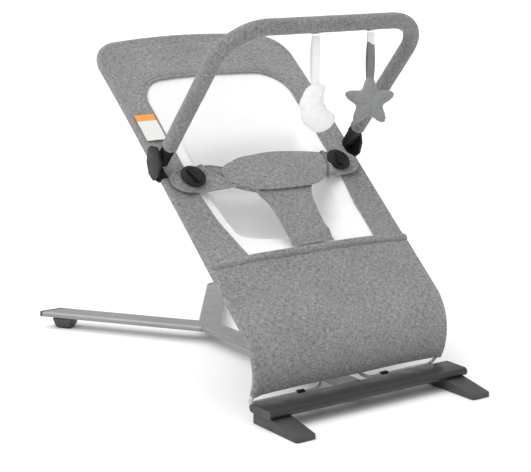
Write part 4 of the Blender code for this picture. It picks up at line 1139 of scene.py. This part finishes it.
moon_low, moon_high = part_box("moon_ribbon")
star_low, star_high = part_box("star_ribbon")
moon_bands = hanging_ribbon("moon_ribbon_layer", "moon", moon_high.z - UNDER_SLEEVE, moon_low.z - 0.006,
                            0.0062, 0.0030, WHITE_RIBBON, -0.002)
tab_end = star_high.z - 0.020
star_bands = hanging_ribbon("star_tab", "star", star_high.z - UNDER_SLEEVE, tab_end,
                            0.0054, 0.0008, WHITE_RIBBON)
star_bands += hanging_ribbon("star_ribbon_layer", "star", tab_end + 0.004, star_low.z - 0.004,
                             0.0058, 0.0026, GREY_RIBBON)

# %% [markdown]
# ## The sewn label
# A plain woven label is stitched to the left side band. It bears no words.

# %% Label
LABEL_ALONG, LABEL_LENGTH = 0.416, 0.058
label_low, label_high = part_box("sewn_label")
label_x = np.linspace(label_low.x, label_high.x, 13)
label_s = np.linspace(LABEL_ALONG - LABEL_LENGTH / 2, LABEL_ALONG + LABEL_LENGTH / 2, 19)
lx, ls = np.meshgrid(label_x, label_s)
label_up = 0.0026 + 0.0004 * wrinkle(np.stack([lx, ls], -1), 60)
label = cloth_grid("side_label", 13, 19, seat_points(lx, ls, label_up),
                   np.stack([lx - label_low.x, ls - label_s[0]], -1), LABEL)
thicken(label, LABEL_THICKNESS)
sew(label, "seat", "label", "sewn_label")

# %% [markdown]
# ## Seams
# The stitches follow the hems that show best: round the window and along both hems of the leg panel.


# %% Stitch paths on the seat
def seat_seam(name, across, along, above):
    points = seat_points(across, along, above)
    up = seat_points(across, along, np.asarray(above) + 0.01) - points
    return seam(name, points, up / np.linalg.norm(up, axis=1)[:, None], "seat")


window_stitch = places_flat[:, -7]
window_up = (section_up + lift + crumple)[:, -7] + 0.0002
seat_seam("window_stitches", window_stitch[:, 0], window_stitch[:, 1], window_up)
for label_text, at, raise_by in (("upper", LEG_TOP - 0.0127, 0.0010), ("lower", HEM + 0.0245, 0.0006)):
    half = 0.190 if at > 0 else 0.180
    line_x = np.linspace(-half, half, 120)
    rise = hem_rise(at) * (1 - (np.abs(line_x) / 0.2047) ** 4)
    seat_seam(f"leg_panel_{label_text}_stitches", line_x, np.full_like(line_x, at), rise + raise_by)


# %% Flat sizes of the sheets
def shell_area(item):
    """The area of one side of a thin sheet."""
    return sum(face.area for face in item.data.polygons) / 2


def declare_sheet(item, length_of=None):
    """length_of is the cloth's length as cut, where its outline is not close to a rectangle."""
    width_of = item.dimensions.x
    area = shell_area(item)
    length_of = length_of or area / width_of * 1.02
    print(item.name, "flat", round(width_of, 3), "x", round(length_of, 3), "m")


bpy.context.view_layer.update()
declare_sheet(mesh_window)
declare_sheet(side_bands, SEAT_TOP - LEG_TOP + 0.035)
declare_sheet(leg_panel)
declare_sheet(harness, 0.200)
